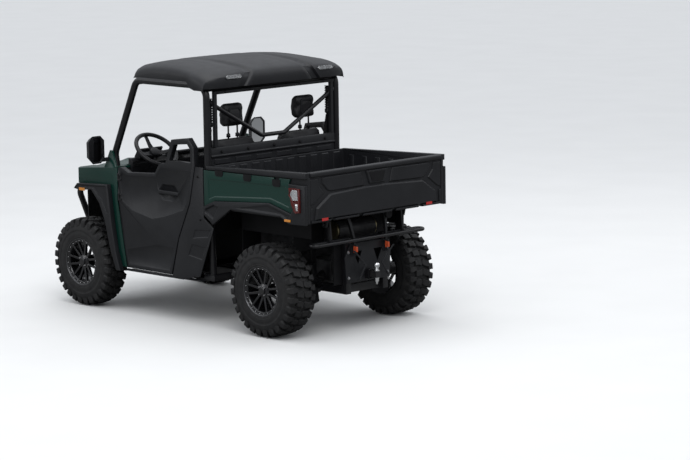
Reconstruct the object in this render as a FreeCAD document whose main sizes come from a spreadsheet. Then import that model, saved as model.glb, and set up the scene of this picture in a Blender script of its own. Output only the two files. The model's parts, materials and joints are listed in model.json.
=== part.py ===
"""Side by side utility vehicle. Millimetres, +X forward, +Y to the driver's side, +Z up.
The origin is on the ground, midway between the axles."""

import FreeCAD, Part
import math
import os
import re
import Sketcher

Vector = FreeCAD.Vector
os.makedirs("parts", exist_ok=True)
doc = FreeCAD.newDocument("UtilityVehicle")

# Sizes in mm, degrees or counts. Those in MEASURED_FROM are distances from their base there
# Whole vehicle
wheelbase = 2050  # axle to axle
front_end_x = 485  # front of the bar
rear_end_x = -485  # rear face of the tailgate
side_y = 710  # outer skin of doors and side panels
skin = 8  # moulded side panels
shut_gap = 8  # gap round doors and lids
seat_gap = 0.3  # clearance between faces that seat on each other
weld = 2  # how far fused pieces run into each other
cutter = 400  # a cutting tool, longer than what it cuts

# Wheels
tyre_radius = 343  # 27 inch tyre over the lugs
lug_depth = 24  # lug above the carcass
lug_length = 52  # lug along the tread
lug_slant = 30  # how far a lug leans across the tread
lug_pitches = 18  # lugs in one row
lug_middle = 10  # from the middle of the tread to a lug
shoulder = 34  # slope between tread and sidewall
front_tyre_width = 206  # over the sidewalls
rear_tyre_width = 250  # over the sidewalls
wheel_face_y = 737  # outer sidewall of every tyre
rim_radius = 184  # rim lip of a 14 inch wheel
rim_wall = 14  # rim barrel with its lip
rim_inset = 14  # rim narrower than the tyre on each side
rim_lip = 9  # lip beside the barrel
hub_radius = 44  # hub of the rim
hub_length = 62  # hub of the rim
hub_inset = 18  # hub face behind the rim's outer edge
spoke_count = 6  # pairs of spokes
spoke_width = 22  # one spoke
spoke_depth = 26  # one spoke along the axle
spoke_spread = 34  # outer end of a spoke, from the middle of its pair
spoke_root = 13  # inner end of a spoke, from the middle of its pair
spindle_radius = 20  # stub axle
spindle_clearance = 0.6  # running clearance of the hub bore
spindle_end_y = -14  # outer end of a stub axle

# Knuckles and suspension
kingpin_y = 4.1  # steering axis
rear_knuckle_y = 12.8  # middle of the rear upright
knuckle_height = 190  # upright between the two arms
knuckle_width = 60  # upright along the vehicle
knuckle_depth = 46  # front upright across the vehicle
rear_knuckle_depth = 40  # rear upright across the vehicle
steering_arm = 130  # steering arm behind the axle
arm_thickness = 26  # suspension arm
arm_base = 240  # arm at its frame end, along the vehicle
arm_tip = 46  # arm at its ball joint
arm_band = 40  # width of an arm's legs at the frame
guard_plate = 6  # plate below a lower arm
ball_gap = 18  # between upright and arm, filled by the ball stud
stud_radius = 9  # ball joint stud
shock_radius = 30  # coil of a shock
shock_turns = 6  # turns of the coil
shock_offset = 38  # shock ahead of the axle line
shock_seat = 28  # shock seat on a lower arm, radius
front_shock_y = -2.98  # lower end of a front shock
rear_shock_y = -8.76  # lower end of a rear shock
shock_top_y = 62  # upper eye of a shock
shock_coil_z = 162  # lower end of the coil, above the upper arm
shock_top_z = 392  # upper eye of a shock

# Frame
rail_y = 42.6  # centre of a main rail
rail_width = 50  # main rail
rail_low = -53  # underside of the main rails
rail_high = 7  # top of the main rails
rail_front = 155  # front end of the main rails
rail_rear = 170  # rear end of the main rails
sill_in = -110  # inner face of the outer frame tube
sill_out = -55  # outer face of the outer frame tube
sill_low = -3  # underside of the outer frame tube
sill_high = 42  # top of the outer frame tube
member = 44  # frame cross member
tower_y = 40.9  # centre of the front and rear towers
tower_width = 46  # tower posts across the vehicle
tower_post = 30  # tower posts along the vehicle
tower_reach = 75  # outer face of a tower post from the axle line
tower_z = 447  # top of the towers
bar_depth = 40  # upper cross members of the frame
belly = 6  # plate below the cab
drive_y = 110  # half width of the front and rear drives
drive_reach = 90  # drive housing before and behind the axle
shaft_radius = 13  # half shaft
boot_radius = 36  # boot of a half shaft
shaft_inner_z = 46  # inner joint of a half shaft

# Cab
floor_y = -10  # half width of the cab floor
sheet = 5  # floor and firewall sheet
firewall_x = 310  # front face of the wall behind the seats
seat_box_front = 462  # front of the box below the seats
seat_box_z = 347  # top of the box below the seats
toe_x = -30  # front end of the floor
toe_z = 436  # front end of the floor
seat_y = 50  # centre of each seat
seat_width = -120  # one seat cushion
cushion_height = 110  # seat cushion
cushion_nose = 70  # cushion ahead of the seat box
back_thickness = 90  # seat back
back_top_z = -195  # top of a seat back
head_width = 215  # headrest
head_height = 200  # headrest
head_z = -240  # centre of a headrest
head_post = 45  # headrest posts from the middle
dash_rear = -92  # face of the dashboard
dash_front = 53  # front of the dashboard
dash_low = 597  # underside of the dashboard
dash_high = 822  # top of the dashboard
dash_lip = -42  # front edge of the dashboard's top
wheel_centre_x = -182  # steering wheel centre
wheel_centre_y = 40  # steering wheel centre
wheel_centre_z = 882  # steering wheel centre
wheel_ring = 170  # steering wheel, centre line of the grip
wheel_grip = 14  # steering wheel grip
wheel_hub = 34  # steering wheel hub
wheel_dish = 40  # hub behind the ring
wheel_tilt = 50  # steering shaft above the horizontal, degrees
shaft_length = 160  # steering shaft below the ring
steering_shaft = 12  # steering shaft radius
column_radius = 30  # steering column
column_length = 110  # steering column
column_start = 190  # lower end of the column below the ring

# Roll cage
tube = 26  # cage tube radius
pillar_gap = 3  # fairing round the front tube
cross_tube = 21  # cross tube radius
tube_bend = 90  # bend of the cage tube
cage_y = -50  # cage tubes at the roof
cage_foot_y = -83  # cage foot, across
cage_base_y = -8  # front pillar where it leaves the cowl, across
cage_front_foot_x = -122  # front foot
cage_base_x = -14  # front pillar where it leaves the cowl
cage_base_z = 872  # front pillar where it leaves the cowl
cage_top_front_x = -297  # front bend at the roof
cage_top_z = 1447  # roof tube centre
cage_rear_x = 280  # rear hoop
brace = 16  # crossed brace tube radius
brace_bend = 60  # bend of the brace tube
panel_low_z = 7  # lower edge of the rear cab panel

# Roof
roof_front_x = 85  # front edge of the roof
roof_step_x = -135  # step between the roof's two levels
roof_rear_x = -88  # rear edge of the roof
roof_y = 8  # half width at the roof's lower edge
roof_rise = 129  # roof from its underside to its crown
roof_drop = 64  # rear wall below the roof's underside
roof_wall = 36  # rear wall of the roof

# Doors
door_thickness = 45  # door
door_front_x = -99  # front edge at its widest
door_rear_x = 373  # rear edge at the shoulder
door_low_z = 13  # bottom edge
door_shoulder_z = 842  # shoulder below the arch
door_arch_z = 213  # top of the arch
handle_x = 307  # handle recess
handle_z = -215  # handle recess
handle_width = 228  # handle recess
handle_height = 132  # handle recess
handle_bar = 24  # bar across the handle recess
handle_depth = 20  # handle recess
crease = 7  # depth of the moulded faces
draft = 50  # slope of their sides, degrees
hinge_x = -10  # door hinge axis
hinge_y = -2  # door hinge axis
hinge_high_z = -145  # upper door hinge
hinge_low_z = -295  # lower door hinge
hinge_height = 26  # door hinge barrel
hinge_end = 18  # barrel of the door above and below it
hinge_radius = 9  # door hinge barrel
hinge_pin = 4.5  # door hinge pin radius
hinge_clearance = 0.5  # round and beside a hinge pin

# Hood and nose
hood_y = -154  # half width of the hood
hood_gap = 6  # beside the hood
hood_rear_x = -14  # rear edge of the hood
hood_front_x = -58  # front edge of the hood
hood_rear_z = 775  # rear edge of the hood
hood_front_z = 692  # front edge of the hood
hood_thickness = 22  # hood panel with its rim
hood_crown = 26  # raised middle of the hood
hood_pin = 5  # hood hinge pin radius
quarter_front_x = 27  # front corner of the quarter panel
quarter_top_z = 733  # top of the quarter panel at its front corner
quarter_rear_z = 771  # top of the quarter panel at the door
flare_y = 42  # outer lip of the front flares
flare_top_z = 636  # upper edge of the front flares
flare_low_z = -28  # lower end of the front flares
flare_front_x = 41  # front end of the front flares
nose_x = -220  # front of the fascia
nose_low_z = 217  # underside of the fascia
nose_corner = 42  # sweep of the fascia to its corners
fascia_y = -88  # half width of the fascia
fascia_flat_y = -168  # half width of its flat front
fascia_wall = 10  # fascia shell
grille_low_z = 80  # grille opening
grille_height = 150  # grille opening
grille_bars = 4  # bars of the grille
bar_radius = 24  # front bar tube
bar_bend = 70  # bend of the front bar
bar_low_z = 30  # ends of the front bar
bar_knee_z = 220  # knee of the front bar
bar_knee_y = 40  # knee of the front bar, outside the rail
bar_bend_y = 190  # upper bend of the front bar, outside the rail
bar_top_z = 537  # top run of the front bar

# Bed
bed_front_x = 244  # front wall of the bed
bed_rear_x = 70  # rear end of the bed floor
bed_floor_z = 553  # underside of the bed floor
bed_floor_thickness = 24  # bed floor
bed_wall = 26  # bed walls
bed_y = -12  # outer face of the bed walls
bed_top_front_z = 862  # rail at the front
bed_top_rear_z = 897  # rail at the rear
bed_lap = 30  # side skins ahead of the bed's front wall
bed_skin = 12  # coloured side panel
bed_flare = 26  # lower flare
rail_lip = 16  # rail beside the bed wall
rib_count = 7  # ribs on each bed wall
rib_width = 46  # one rib
rib_depth = 8  # one rib
rib_front_x = -70  # front face of the first rib
rib_rear_x = 60  # front face of the last rib
pivot_x = 150  # bed hinge
pivot_z = 483  # bed hinge
pivot_y = 390  # bed hinge brackets
pivot_plate = 14  # ear on the bed
bracket_plate = 16  # bracket on the frame
pivot_pin = 9  # bed hinge pin radius
gate_y = -17  # half width of the tailgate
gate_inner_x = 55  # inner face of the tailgate
gate_low_z = 529  # bottom edge of the tailgate
gate_pivot_x = 40  # tailgate hinge
gate_pivot_z = 15  # tailgate hinge
gate_pin = 6  # tailgate hinge pin radius
gate_relief = 15  # raised shapes of the tailgate

# Machinery
engine_front_x = 232  # engine block
engine_rear_x = 125  # engine block
engine_top_z = 457  # engine block
rear_drive_height = 150  # rear drive housing
front_drive_height = 160  # front drive housing
muffler_radius = 72  # muffler
muffler_length = 400  # muffler
muffler_x = 140  # muffler
muffler_z = 397  # muffler
rear_plate = 12  # plate behind the frame
rear_plate_y = 45  # half width of the rear plate
rear_plate_low_z = 29  # rear plate
rear_plate_high_z = -30  # rear plate
hook_reach = 52  # recovery hook behind the plate
receiver = 64  # hitch receiver, outside
receiver_wall = 6  # hitch receiver
receiver_end_x = 70  # open end of the receiver
hitch_z = 82  # hitch receiver centre
shank = 24  # ball mount bar
ball_x = 28  # hitch ball
ball_z = 65  # hitch ball
ball_radius = 25  # 50 mm hitch ball
ball_neck = 15  # neck below the ball
loop_radius = 14  # rear loop tube
loop_bend = 32  # bend of the rear loop
loop_x = 78  # rear loop, rear run
loop_z = 347  # rear loop
loop_y = -138  # rear loop, half width

# Mirrors and lamps
mirror_x = 18  # mirror housing
mirror_y = 123  # mirror housing, centre
mirror_z = 910  # mirror housing, centre
mirror_width = 154  # mirror housing
mirror_height = 212  # mirror housing
mirror_depth = 58  # mirror housing
mirror_rim = 10  # rim round the mirror glass
mirror_corner = 38  # cut corners of the mirror
lamp_thickness = 10  # lamp lens
roof_lamp_y = -200  # roof lamp
roof_lamp_z = 34  # roof lamp
roof_lamp_width = 145  # roof lamp
roof_lamp_height = 26  # roof lamp

# Each base, and the sizes measured from it
MEASURED_FROM = {
    "front_axle_x": ["front_end_x", "rail_front", "quarter_front_x", "flare_front_x"],
    "rear_axle_x": ["rear_end_x", "engine_rear_x"],
    "wheel_face_y - rim_inset": ["spindle_end_y"],
    "wheel_face_y*0.7": ["kingpin_y"],
    "wheel_face_y*0.6": ["rear_knuckle_y"],
    "wheel_face_y*0.54": ["front_shock_y"],
    "wheel_face_y*0.48": ["rear_shock_y"],
    "tower_y": ["shock_top_y"],
    "axle_z": ["shock_coil_z", "shock_top_z", "rail_low", "rail_high", "sill_low", "sill_high", "tower_z",
        "shaft_inner_z", "seat_box_z", "toe_z", "dash_low", "dash_high", "wheel_centre_z", "cage_base_z",
        "cage_top_z", "door_low_z", "door_shoulder_z", "hood_rear_z", "hood_front_z", "quarter_top_z",
        "quarter_rear_z", "flare_top_z", "nose_low_z", "bar_top_z", "bed_floor_z", "bed_top_front_z",
        "bed_top_rear_z", "pivot_z", "gate_low_z", "engine_top_z", "muffler_z", "rear_plate_low_z",
        "hitch_z", "loop_z", "mirror_z"],
    "wheel_face_y*0.2": ["rail_y"],
    "rear_end_x": ["rail_rear", "bed_rear_x", "pivot_x", "gate_inner_x", "gate_pivot_x", "receiver_end_x",
        "ball_x", "loop_x"],
    "side_y": ["sill_in", "sill_out", "cage_y", "cage_foot_y", "hinge_y", "hood_y", "flare_y", "bed_y",
        "mirror_y"],
    "wheel_face_y*0.3": ["tower_y"],
    "sill_in": ["floor_y"],
    "rear_reach_x": ["firewall_x", "cage_rear_x", "door_rear_x", "bed_front_x", "engine_front_x"],
    "firewall_x": ["seat_box_front"],
    "dash_front": ["toe_x"],
    "floor_y/2": ["seat_y"],
    "floor_y": ["seat_width"],
    "head_z - head_height/2": ["back_top_z"],
    "cage_top_z": ["head_z"],
    "front_reach_x": ["dash_rear", "dash_front", "wheel_centre_x", "cage_front_foot_x", "cage_base_x",
        "cage_top_front_x", "door_front_x", "hood_rear_x", "mirror_x"],
    "hood_rear_x": ["dash_lip"],
    "seat_y": ["wheel_centre_y"],
    "cage_y": ["cage_base_y", "roof_y"],
    "door_shoulder_z": ["panel_low_z", "door_arch_z", "handle_z", "hinge_high_z", "hinge_low_z"],
    "cage_top_front_x": ["roof_front_x", "roof_step_x"],
    "cage_rear_x": ["roof_rear_x"],
    "door_rear_x": ["handle_x"],
    "door_front_x": ["hinge_x"],
    "nose_x": ["hood_front_x"],
    "door_low_z": ["flare_low_z"],
    "front_end_x": ["nose_x"],
    "hood_y": ["fascia_y"],
    "fascia_y": ["fascia_flat_y"],
    "nose_low_z": ["grille_low_z"],
    "rail_low": ["bar_low_z", "bar_knee_z"],
    "bed_front_x - bed_wall": ["rib_front_x"],
    "bed_rear_x": ["rib_rear_x"],
    "bed_in_y": ["gate_y"],
    "gate_low_z": ["gate_pivot_z"],
    "pivot_x": ["muffler_x"],
    "rail_y": ["rear_plate_y", "bar_knee_y", "bar_bend_y"],
    "loop_z": ["rear_plate_high_z"],
    "hitch_z": ["ball_z"],
    "bed_y": ["loop_y"],
    "roof_y": ["roof_lamp_y"],
    "roof_low_z": ["roof_lamp_z"],
}

# Places that follow from the sizes alone
DERIVED = {
    "front_axle_x": "wheelbase/2",  # front axle line
    "rear_axle_x": "-wheelbase/2",  # rear axle line
    "axle_z": "tyre_radius",  # axles above the ground
    "front_reach_x": "front_axle_x - tyre_radius",  # rear edge of the front tyres
    "rear_reach_x": "rear_axle_x + tyre_radius",  # front edge of the rear tyres
    "hub_back_y": "wheel_face_y - rim_inset + rim_lip - hub_inset - hub_length",  # inner face of a hub
    "cage_rise": "cage_top_z - door_shoulder_z",  # cage above the shoulder
    "cage_in_y": "cage_y - tube",  # inner side of the cage tubes
    "brace_top_z": "door_shoulder_z + cage_rise*0.82",  # upper ends of the brace
    "brace_low_z": "door_shoulder_z + cage_rise*0.32",  # bend of the brace
    "brace_low_y": "cage_y*0.174",  # bend of the brace
    "panel_high_z": "door_shoulder_z + cage_rise*0.243",  # upper edge of the rear cab panel
    "roof_low_z": "cage_top_z + tube + seat_gap",  # underside of the roof
    "bed_in_y": "bed_y - bed_wall",  # inner face of the bed walls
    "gate_top_z": "bed_top_rear_z",  # top edge of the tailgate
    "engine_y": "rail_y",  # half width of the engine block
    "plate_x": "rail_rear - member",  # rear face of the last cross member
}

SIZES = {name: value for name, value in list(globals().items()) if type(value) in (int, float)}
SIZES.update({name: "=" + base for name, base in DERIVED.items()})
for base, measured in MEASURED_FROM.items():
    for name in measured:
        SIZES[name] = "=%s + %s" % (base, SIZES[name])

sheet = doc.addObject("Spreadsheet::Sheet", "Sizes")
for row, name in enumerate(SIZES, 1):
    sheet.set("A%d" % row, name)
    sheet.setAlias("B%d" % row, name)
for row, value in enumerate(SIZES.values(), 1):
    sheet.set("B%d" % row, str(value))
doc.recompute()


class FromSheet:
    """Reads a size out of the spreadsheet: d.side_y."""

    def __getattr__(self, alias):
        return float(sheet.get(alias))


d = FromSheet()


def bound(expression):
    """An expression on size names, with the sheet's name before each."""
    return re.sub(r"[a-z][a-z0-9_]*", lambda m: "Sizes." + m[0] if m[0] in SIZES else m[0], str(expression))


def spread(x_low, x_high, z_low, z_high, shares):
    """Corners given as shares of a named box, as pairs of expressions."""
    return [("(%s) + ((%s) - (%s))*%s" % (x_low, x_high, x_low, along),
             "(%s) + ((%s) - (%s))*%s" % (z_low, z_high, z_low, up)) for along, up in shares]


def shifted(points, along, up=0):
    """The same corners moved over."""
    return [("%s + %s" % (x, along), "%s + %s" % (z, up)) for x, z in points]


def chamfered(x, z, width, height, corner):
    """A rectangle round a centre with its corners cut off."""
    return [("%s + (%s)*%s/2 + %s" % (x, width, right, inward_x),
             "%s + (%s)*%s/2 + %s" % (z, height, up, inward_z))
            for right, up, inward_x, inward_z in (
                (1, -1, 0, corner), (1, 1, 0, "-%s" % corner), (1, 1, "-%s" % corner, 0),
                (-1, 1, corner, 0), (-1, 1, 0, "-%s" % corner), (-1, -1, 0, corner),
                (-1, -1, corner, 0), (1, -1, "-%s" % corner, 0))]


# Each plane: role of the body's origin plane, the axis the pad runs along, and the way it runs
PLANES = {"XY": ("XY_Plane", "z", 1), "XZ": ("XZ_Plane", "y", -1), "YZ": ("YZ_Plane", "x", 1)}


def add_loop(sketch, points):
    """One closed loop of lines whose corners are bound to expressions."""
    first = sketch.GeometryCount
    count = len(points)
    start = [Vector(100 * math.cos(2 * math.pi * i / count), 100 * math.sin(2 * math.pi * i / count), 0)
             for i in range(count)]
    for i in range(count):
        sketch.addGeometry(Part.LineSegment(start[i], start[(i + 1) % count]), False)
    for i in range(count):
        sketch.addConstraint(Sketcher.Constraint("Coincident", first + i, 2, first + (i + 1) % count, 1))
    for i, (across, up) in enumerate(points):
        for kind, place, expression in (("DistanceX", start[i].x, across), ("DistanceY", start[i].y, up)):
            index = sketch.addConstraint(Sketcher.Constraint(kind, -1, 1, first + i, 1, place))
            sketch.setExpression("Constraints[%d]" % index, bound(expression))


def plate(label, plane, outline, low, high, holes=(), draft=None):
    """A pad between two places along the plane's normal, from an outline with holes in it.
    With draft, its sides lean inward on the way from the sketch."""
    role, axis, way = PLANES[plane]
    body = doc.addObject("PartDesign::Body", label)
    body.Label = label
    sketch = body.newObject("Sketcher::SketchObject", label + "_outline")
    sketch.AttachmentSupport = [([f for f in body.Origin.OriginFeatures if f.Role == role][0], "")]
    sketch.MapMode = "FlatFace"
    for points in (outline,) + tuple(holes):
        add_loop(sketch, points)
    pad = body.newObject("PartDesign::Pad", label + "_pad")
    pad.Profile = sketch
    pad.setExpression("Length", bound("(%s) - (%s)" % (high, low)))
    if draft:
        pad.setExpression("TaperAngle", bound("-1*%s" % draft))
    body.setExpression("Placement.Base." + axis, bound(low if way > 0 else high))
    return body


def box(label, low, high):
    """A block between two corners given as expressions."""
    block = doc.addObject("Part::Box", label)
    block.Label = label
    for side, axis, a, b in zip(("Length", "Width", "Height"), "xyz", low, high):
        block.setExpression(side, bound("(%s) - (%s)" % (b, a)))
        block.setExpression("Placement.Base." + axis, bound(a))
    return block


AXIS_TURN = {"x": FreeCAD.Rotation(Vector(0, 1, 0), 90), "y": FreeCAD.Rotation(Vector(1, 0, 0), -90),
             "z": FreeCAD.Rotation()}


def rod(label, axis, radius, start, length):
    """A cylinder from a start point along one axis, sizes as expressions."""
    cylinder = doc.addObject("Part::Cylinder", label)
    cylinder.Label = label
    cylinder.Placement = FreeCAD.Placement(Vector(), AXIS_TURN[axis])
    cylinder.setExpression("Radius", bound(radius))
    cylinder.setExpression("Height", bound(length))
    for name, place in zip("xyz", start):
        cylinder.setExpression("Placement.Base." + name, bound(place))
    return cylinder


def join(label, pieces, refine=True):
    """Pieces that touch, made one solid."""
    fuse = doc.addObject("Part::MultiFuse", label)
    fuse.Label = label
    fuse.Shapes = pieces
    fuse.Refine = refine
    return fuse


def cut(label, base, tools):
    """A piece less the tools, which are joined first."""
    made = doc.addObject("Part::Cut", label)
    made.Label = label
    made.Base = base
    made.Tool = tools[0] if len(tools) == 1 else join(label + "_tools", tools, refine=False)
    return made


def mirrored(label, source):
    """The same piece on the other side of the vehicle."""
    other = doc.addObject("Part::Mirroring", label)
    other.Label = label
    other.Source = source
    other.Normal = Vector(0, 1, 0)
    return other


def together(label, pieces):
    """Separate solids that share a node."""
    group = doc.addObject("Part::Compound", label)
    group.Label = label
    group.Links = pieces
    return group


def both_sides(label, source):
    return together(label, [source, mirrored(source.Label + "_right", source)])


def shaped(label, shape, placement=None):
    """A form made by code from the sheet's sizes."""
    feature = doc.addObject("Part::Feature", label)
    feature.Label = label
    feature.Shape = shape
    if placement:
        feature.Placement = placement
    return feature


def bend_at(before, corner, after, bend):
    """Start, middle and end of the arc that rounds one corner."""
    back = (before - corner).normalize()
    ahead = (after - corner).normalize()
    half = back.getAngle(ahead) / 2
    reach = bend / math.tan(half)
    middle = corner + (back + ahead).normalize() * (bend / math.sin(half) - bend)
    return corner + back * reach, middle, corner + ahead * reach


def bent_path(points, bend):
    """Straight runs joined by tangent arcs."""
    edges = []
    start = points[0]
    for before, corner, after in zip(points, points[1:], points[2:]):
        leave, middle, meet = bend_at(before, corner, after, bend)
        edges.append(Part.LineSegment(start, leave).toShape())
        edges.append(Part.Arc(leave, middle, meet).toShape())
        start = meet
    edges.append(Part.LineSegment(start, points[-1]).toShape())
    return Part.Wire(edges)


def tube_shape(points, radius, bend):
    """A solid tube along a bent path."""
    places = [Vector(*p) for p in points]
    path = bent_path(places, bend)
    ring = Part.Wire([Part.makeCircle(radius, places[0], places[1] - places[0])])
    pipe = Part.BRepOffsetAPI.MakePipeShell(path)
    pipe.add(ring)
    pipe.setTransitionMode(1)
    pipe.build()
    pipe.makeSolid()
    return pipe.shape()


def block(low, high):
    """A block between two corners given as numbers."""
    return Part.makeBox(high[0] - low[0], high[1] - low[1], high[2] - low[2], Vector(*low))


def polygon(points):
    return Part.Face(Part.makePolygon(points + points[:1]))


def across(points, y_low, y_high):
    """A side view outline of (x, z) corners, extruded across the vehicle."""
    return polygon([Vector(x, y_low, z) for x, z in points]).extrude(Vector(0, y_high - y_low, 0))


def facet_ring(profile, sides):
    """A closed profile of (y, r) corners turned about the Y axis in flat sides."""
    rings = []
    for y, r in profile:
        rings.append([Vector(r * math.sin(2 * math.pi * k / sides), y,
                             -r * math.cos(2 * math.pi * k / sides))
                      for k in range(sides)])
    faces = []
    for this, following in zip(rings, rings[1:] + rings[:1]):
        for k in range(sides):
            n = (k + 1) % sides
            faces.append(polygon([this[k], this[n], following[n], following[k]]))
    solid = Part.makeSolid(Part.makeShell(faces))
    if solid.Volume < 0:
        solid.reverse()
    return solid


def turned(shape, angle):
    """A copy turned about the wheel's axle, in radians."""
    copy = shape.copy()
    copy.rotate(Vector(), Vector(0, 1, 0), math.degrees(angle))
    return copy


# Tyres
def tyre_shape(width):
    """Carcass with flat sides in step with the lugs, and two rows of slanted lugs over its shoulders."""
    half = width / 2
    carcass = d.tyre_radius - d.lug_depth
    bead = d.rim_radius - d.rim_wall / 2 + d.seat_gap
    rim_half = half - d.rim_inset
    wall = (carcass - bead) / 2
    right = [(rim_half, bead), (half, bead + wall), (half - d.shoulder, carcass)]
    profile = right + [(-y, r) for y, r in reversed(right)]
    solid = facet_ring(profile, int(d.lug_pitches) * 2)
    top = math.sqrt(d.tyre_radius ** 2 - (d.lug_length / 2) ** 2)
    lean = d.lug_slant / 2
    inner = d.lug_middle + lean
    outer = half - lean
    section = [(inner, carcass - d.lug_depth / 2), (inner, top), (outer - d.shoulder, top),
               (outer - d.weld, top - d.lug_depth * 0.8), (outer - d.weld, carcass - d.shoulder * 0.8),
               (outer - d.shoulder * 0.8, carcass - d.shoulder)]
    lugs = []
    for row in (1, -1):
        face = polygon([Vector(-d.lug_length / 2, row * (y - lean), -r) for y, r in section])
        lug = face.extrude(Vector(d.lug_length, row * d.lug_slant, 0))
        for k in range(int(d.lug_pitches)):
            lugs.append(turned(lug, 2 * math.pi * (k + row / 4) / d.lug_pitches))
    return solid.fuse(lugs)


# Rims
def rim_shape(width):
    """Barrel with lips, hub with its bore, and pairs of spokes in V shape."""
    half = width / 2 - d.rim_inset
    seat = d.rim_radius - d.rim_wall / 2
    inner = d.rim_radius - d.rim_wall
    sides = int(d.lug_pitches) * 2
    outer = half + d.rim_lip
    barrel = facet_ring([(half, inner), (half, seat), (-half, seat), (-half, inner)], sides)
    lip = facet_ring([(half, inner + d.weld), (outer, inner + d.weld), (outer, d.rim_radius),
                      (half, seat - d.seat_gap)], sides)
    face = outer - d.hub_inset
    hub = Part.makeCylinder(d.hub_radius, d.hub_length, Vector(0, face - d.hub_length, 0), Vector(0, 1, 0))
    spokes = []
    near = d.spoke_width / 2
    far = near * 0.8
    reach = math.sqrt((inner + d.rim_wall / 3) ** 2 - (d.spoke_spread + far) ** 2)
    for pair in range(int(d.spoke_count)):
        for lean in (1, -1):
            root = lean * d.spoke_root
            tip = lean * d.spoke_spread
            corners = [(root - near, d.hub_radius * 0.7), (root + near, d.hub_radius * 0.7),
                       (tip + far, reach), (tip - far, reach)]
            flat = polygon([Vector(x, face - d.spoke_depth, -r) for x, r in corners])
            spokes.append(turned(flat.extrude(Vector(0, d.spoke_depth, 0)),
                                 2 * math.pi * pair / d.spoke_count))
    bore = Part.makeCylinder(d.spindle_radius + d.spindle_clearance, d.hub_length + 2 * d.weld,
                             Vector(0, face - d.hub_length - d.weld, 0), Vector(0, 1, 0))
    return barrel.fuse([lip, hub] + spokes).cut(bore)


SIDES = [("left", 1), ("right", -1)]
for axle, axle_x, width in (("front", d.front_axle_x, d.front_tyre_width),
                            ("rear", d.rear_axle_x, d.rear_tyre_width)):
    tyre = tyre_shape(width)
    rim = rim_shape(width)
    for side, hand in SIDES:
        centre = Vector(axle_x, hand * (d.wheel_face_y - width / 2), d.axle_z)
        place = FreeCAD.Placement(centre, FreeCAD.Rotation(Vector(0, 0, 1), 0 if hand > 0 else 180))
        shaped("tyre_%s_%s" % (axle, side), tyre.copy(), place)
        shaped("rim_%s_%s" % (axle, side), rim.copy(), place)


# Knuckles: upright, spindle with its flange, steering arm in front
def knuckle_pieces(name, axle_x, y, width, depth):
    """Upright with the stub axle and the flange behind the hub."""
    low = (axle_x + " - %s/2" % width, "%s - %s/2" % (y, depth), "axle_z - knuckle_height/2")
    high = (axle_x + " + %s/2" % width, "%s + %s/2" % (y, depth), "axle_z + knuckle_height/2")
    return [box(name + "_upright", low, high),
            rod(name + "_spindle", "y", "spindle_radius", (axle_x, y, "axle_z"), "spindle_end_y - %s" % y),
            rod(name + "_flange", "y", "hub_radius", (axle_x, high[1] + " - weld", "axle_z"),
                "hub_back_y - 6 + weld - (%s)" % high[1])]


arm_piece = box("steering_arm", ("front_axle_x - steering_arm", "kingpin_y - knuckle_depth/2",
                                    "axle_z - 80"),
                   ("front_axle_x", "kingpin_y", "axle_z - 58"))
front_pieces = knuckle_pieces("front", "front_axle_x", "kingpin_y", "knuckle_width", "knuckle_depth")
knuckle = join("knuckle_left", front_pieces + [arm_piece])
mirrored("knuckle_right", knuckle)
rear_pieces = knuckle_pieces("rear", "rear_axle_x", "rear_knuckle_y", "knuckle_width", "rear_knuckle_depth")
both_sides("rear_knuckles", join("rear_knuckle", rear_pieces))


# Suspension arms: an A shape from the frame to a ball stud at the upright
def arm_shape(axle_x, root_y, root_z, tip_y, tip_z, stud, seat_y=None):
    """One A-arm, made flat and tilted to its ball joint. stud is +1 up or -1 down.
    A lower arm has a guard plate below it and a shock seat at seat_y."""
    run = Vector(0, tip_y - root_y, tip_z - root_z)
    length = run.Length
    base = d.arm_base / 2
    tip = d.arm_tip / 2
    half = d.arm_thickness / 2
    outline = [(-base, 0), (base, 0), (base, d.arm_band), (tip, length), (-tip, length),
               (-base, d.arm_band)]
    leg = base - d.arm_band
    hole = [(-leg, d.arm_band * 1.2), (leg, d.arm_band * 1.2), (tip * 0.4, length - d.arm_band * 1.5),
            (-tip * 0.4, length - d.arm_band * 1.5)]
    solid = polygon([Vector(x, y, 0) for x, y in outline]).cut(polygon([Vector(x, y, 0) for x, y in hole]))
    solid = solid.extrude(Vector(0, 0, d.arm_thickness))
    solid.translate(Vector(0, 0, -half))
    if seat_y:
        guard = [(-leg, length * 0.3), (leg, length * 0.3), (leg, length * 0.5), (tip * 1.6, length * 0.86),
                 (-tip * 1.6, length * 0.86), (-leg, length * 0.5)]
        guard_face = polygon([Vector(x, y, -half - d.guard_plate) for x, y in guard])
        solid = solid.fuse(guard_face.extrude(Vector(0, 0, d.guard_plate + d.weld)))
    solid.rotate(Vector(), Vector(1, 0, 0), math.degrees(math.atan2(run.z, run.y)))
    solid.translate(Vector(axle_x, root_y, root_z))
    solid = solid.cut(block((axle_x - d.arm_base, root_y - 100, root_z - 100),
                            (axle_x + d.arm_base, root_y, root_z + 100)))
    if seat_y:
        seat_z = root_z + (seat_y - root_y) / (tip_y - root_y) * (tip_z - root_z)
        seat = Vector(axle_x + d.shock_offset, seat_y, seat_z - half)
        solid = solid.fuse(Part.makeCylinder(d.shock_seat, d.arm_thickness + 6, seat))
    pad = Part.makeCylinder(tip, d.arm_thickness, Vector(axle_x, tip_y, tip_z - half))
    ball = Part.makeCylinder(d.stud_radius, half + d.ball_gap - d.seat_gap, Vector(axle_x, tip_y, tip_z),
                             Vector(0, 0, stud))
    return solid.fuse([pad, ball])


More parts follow.
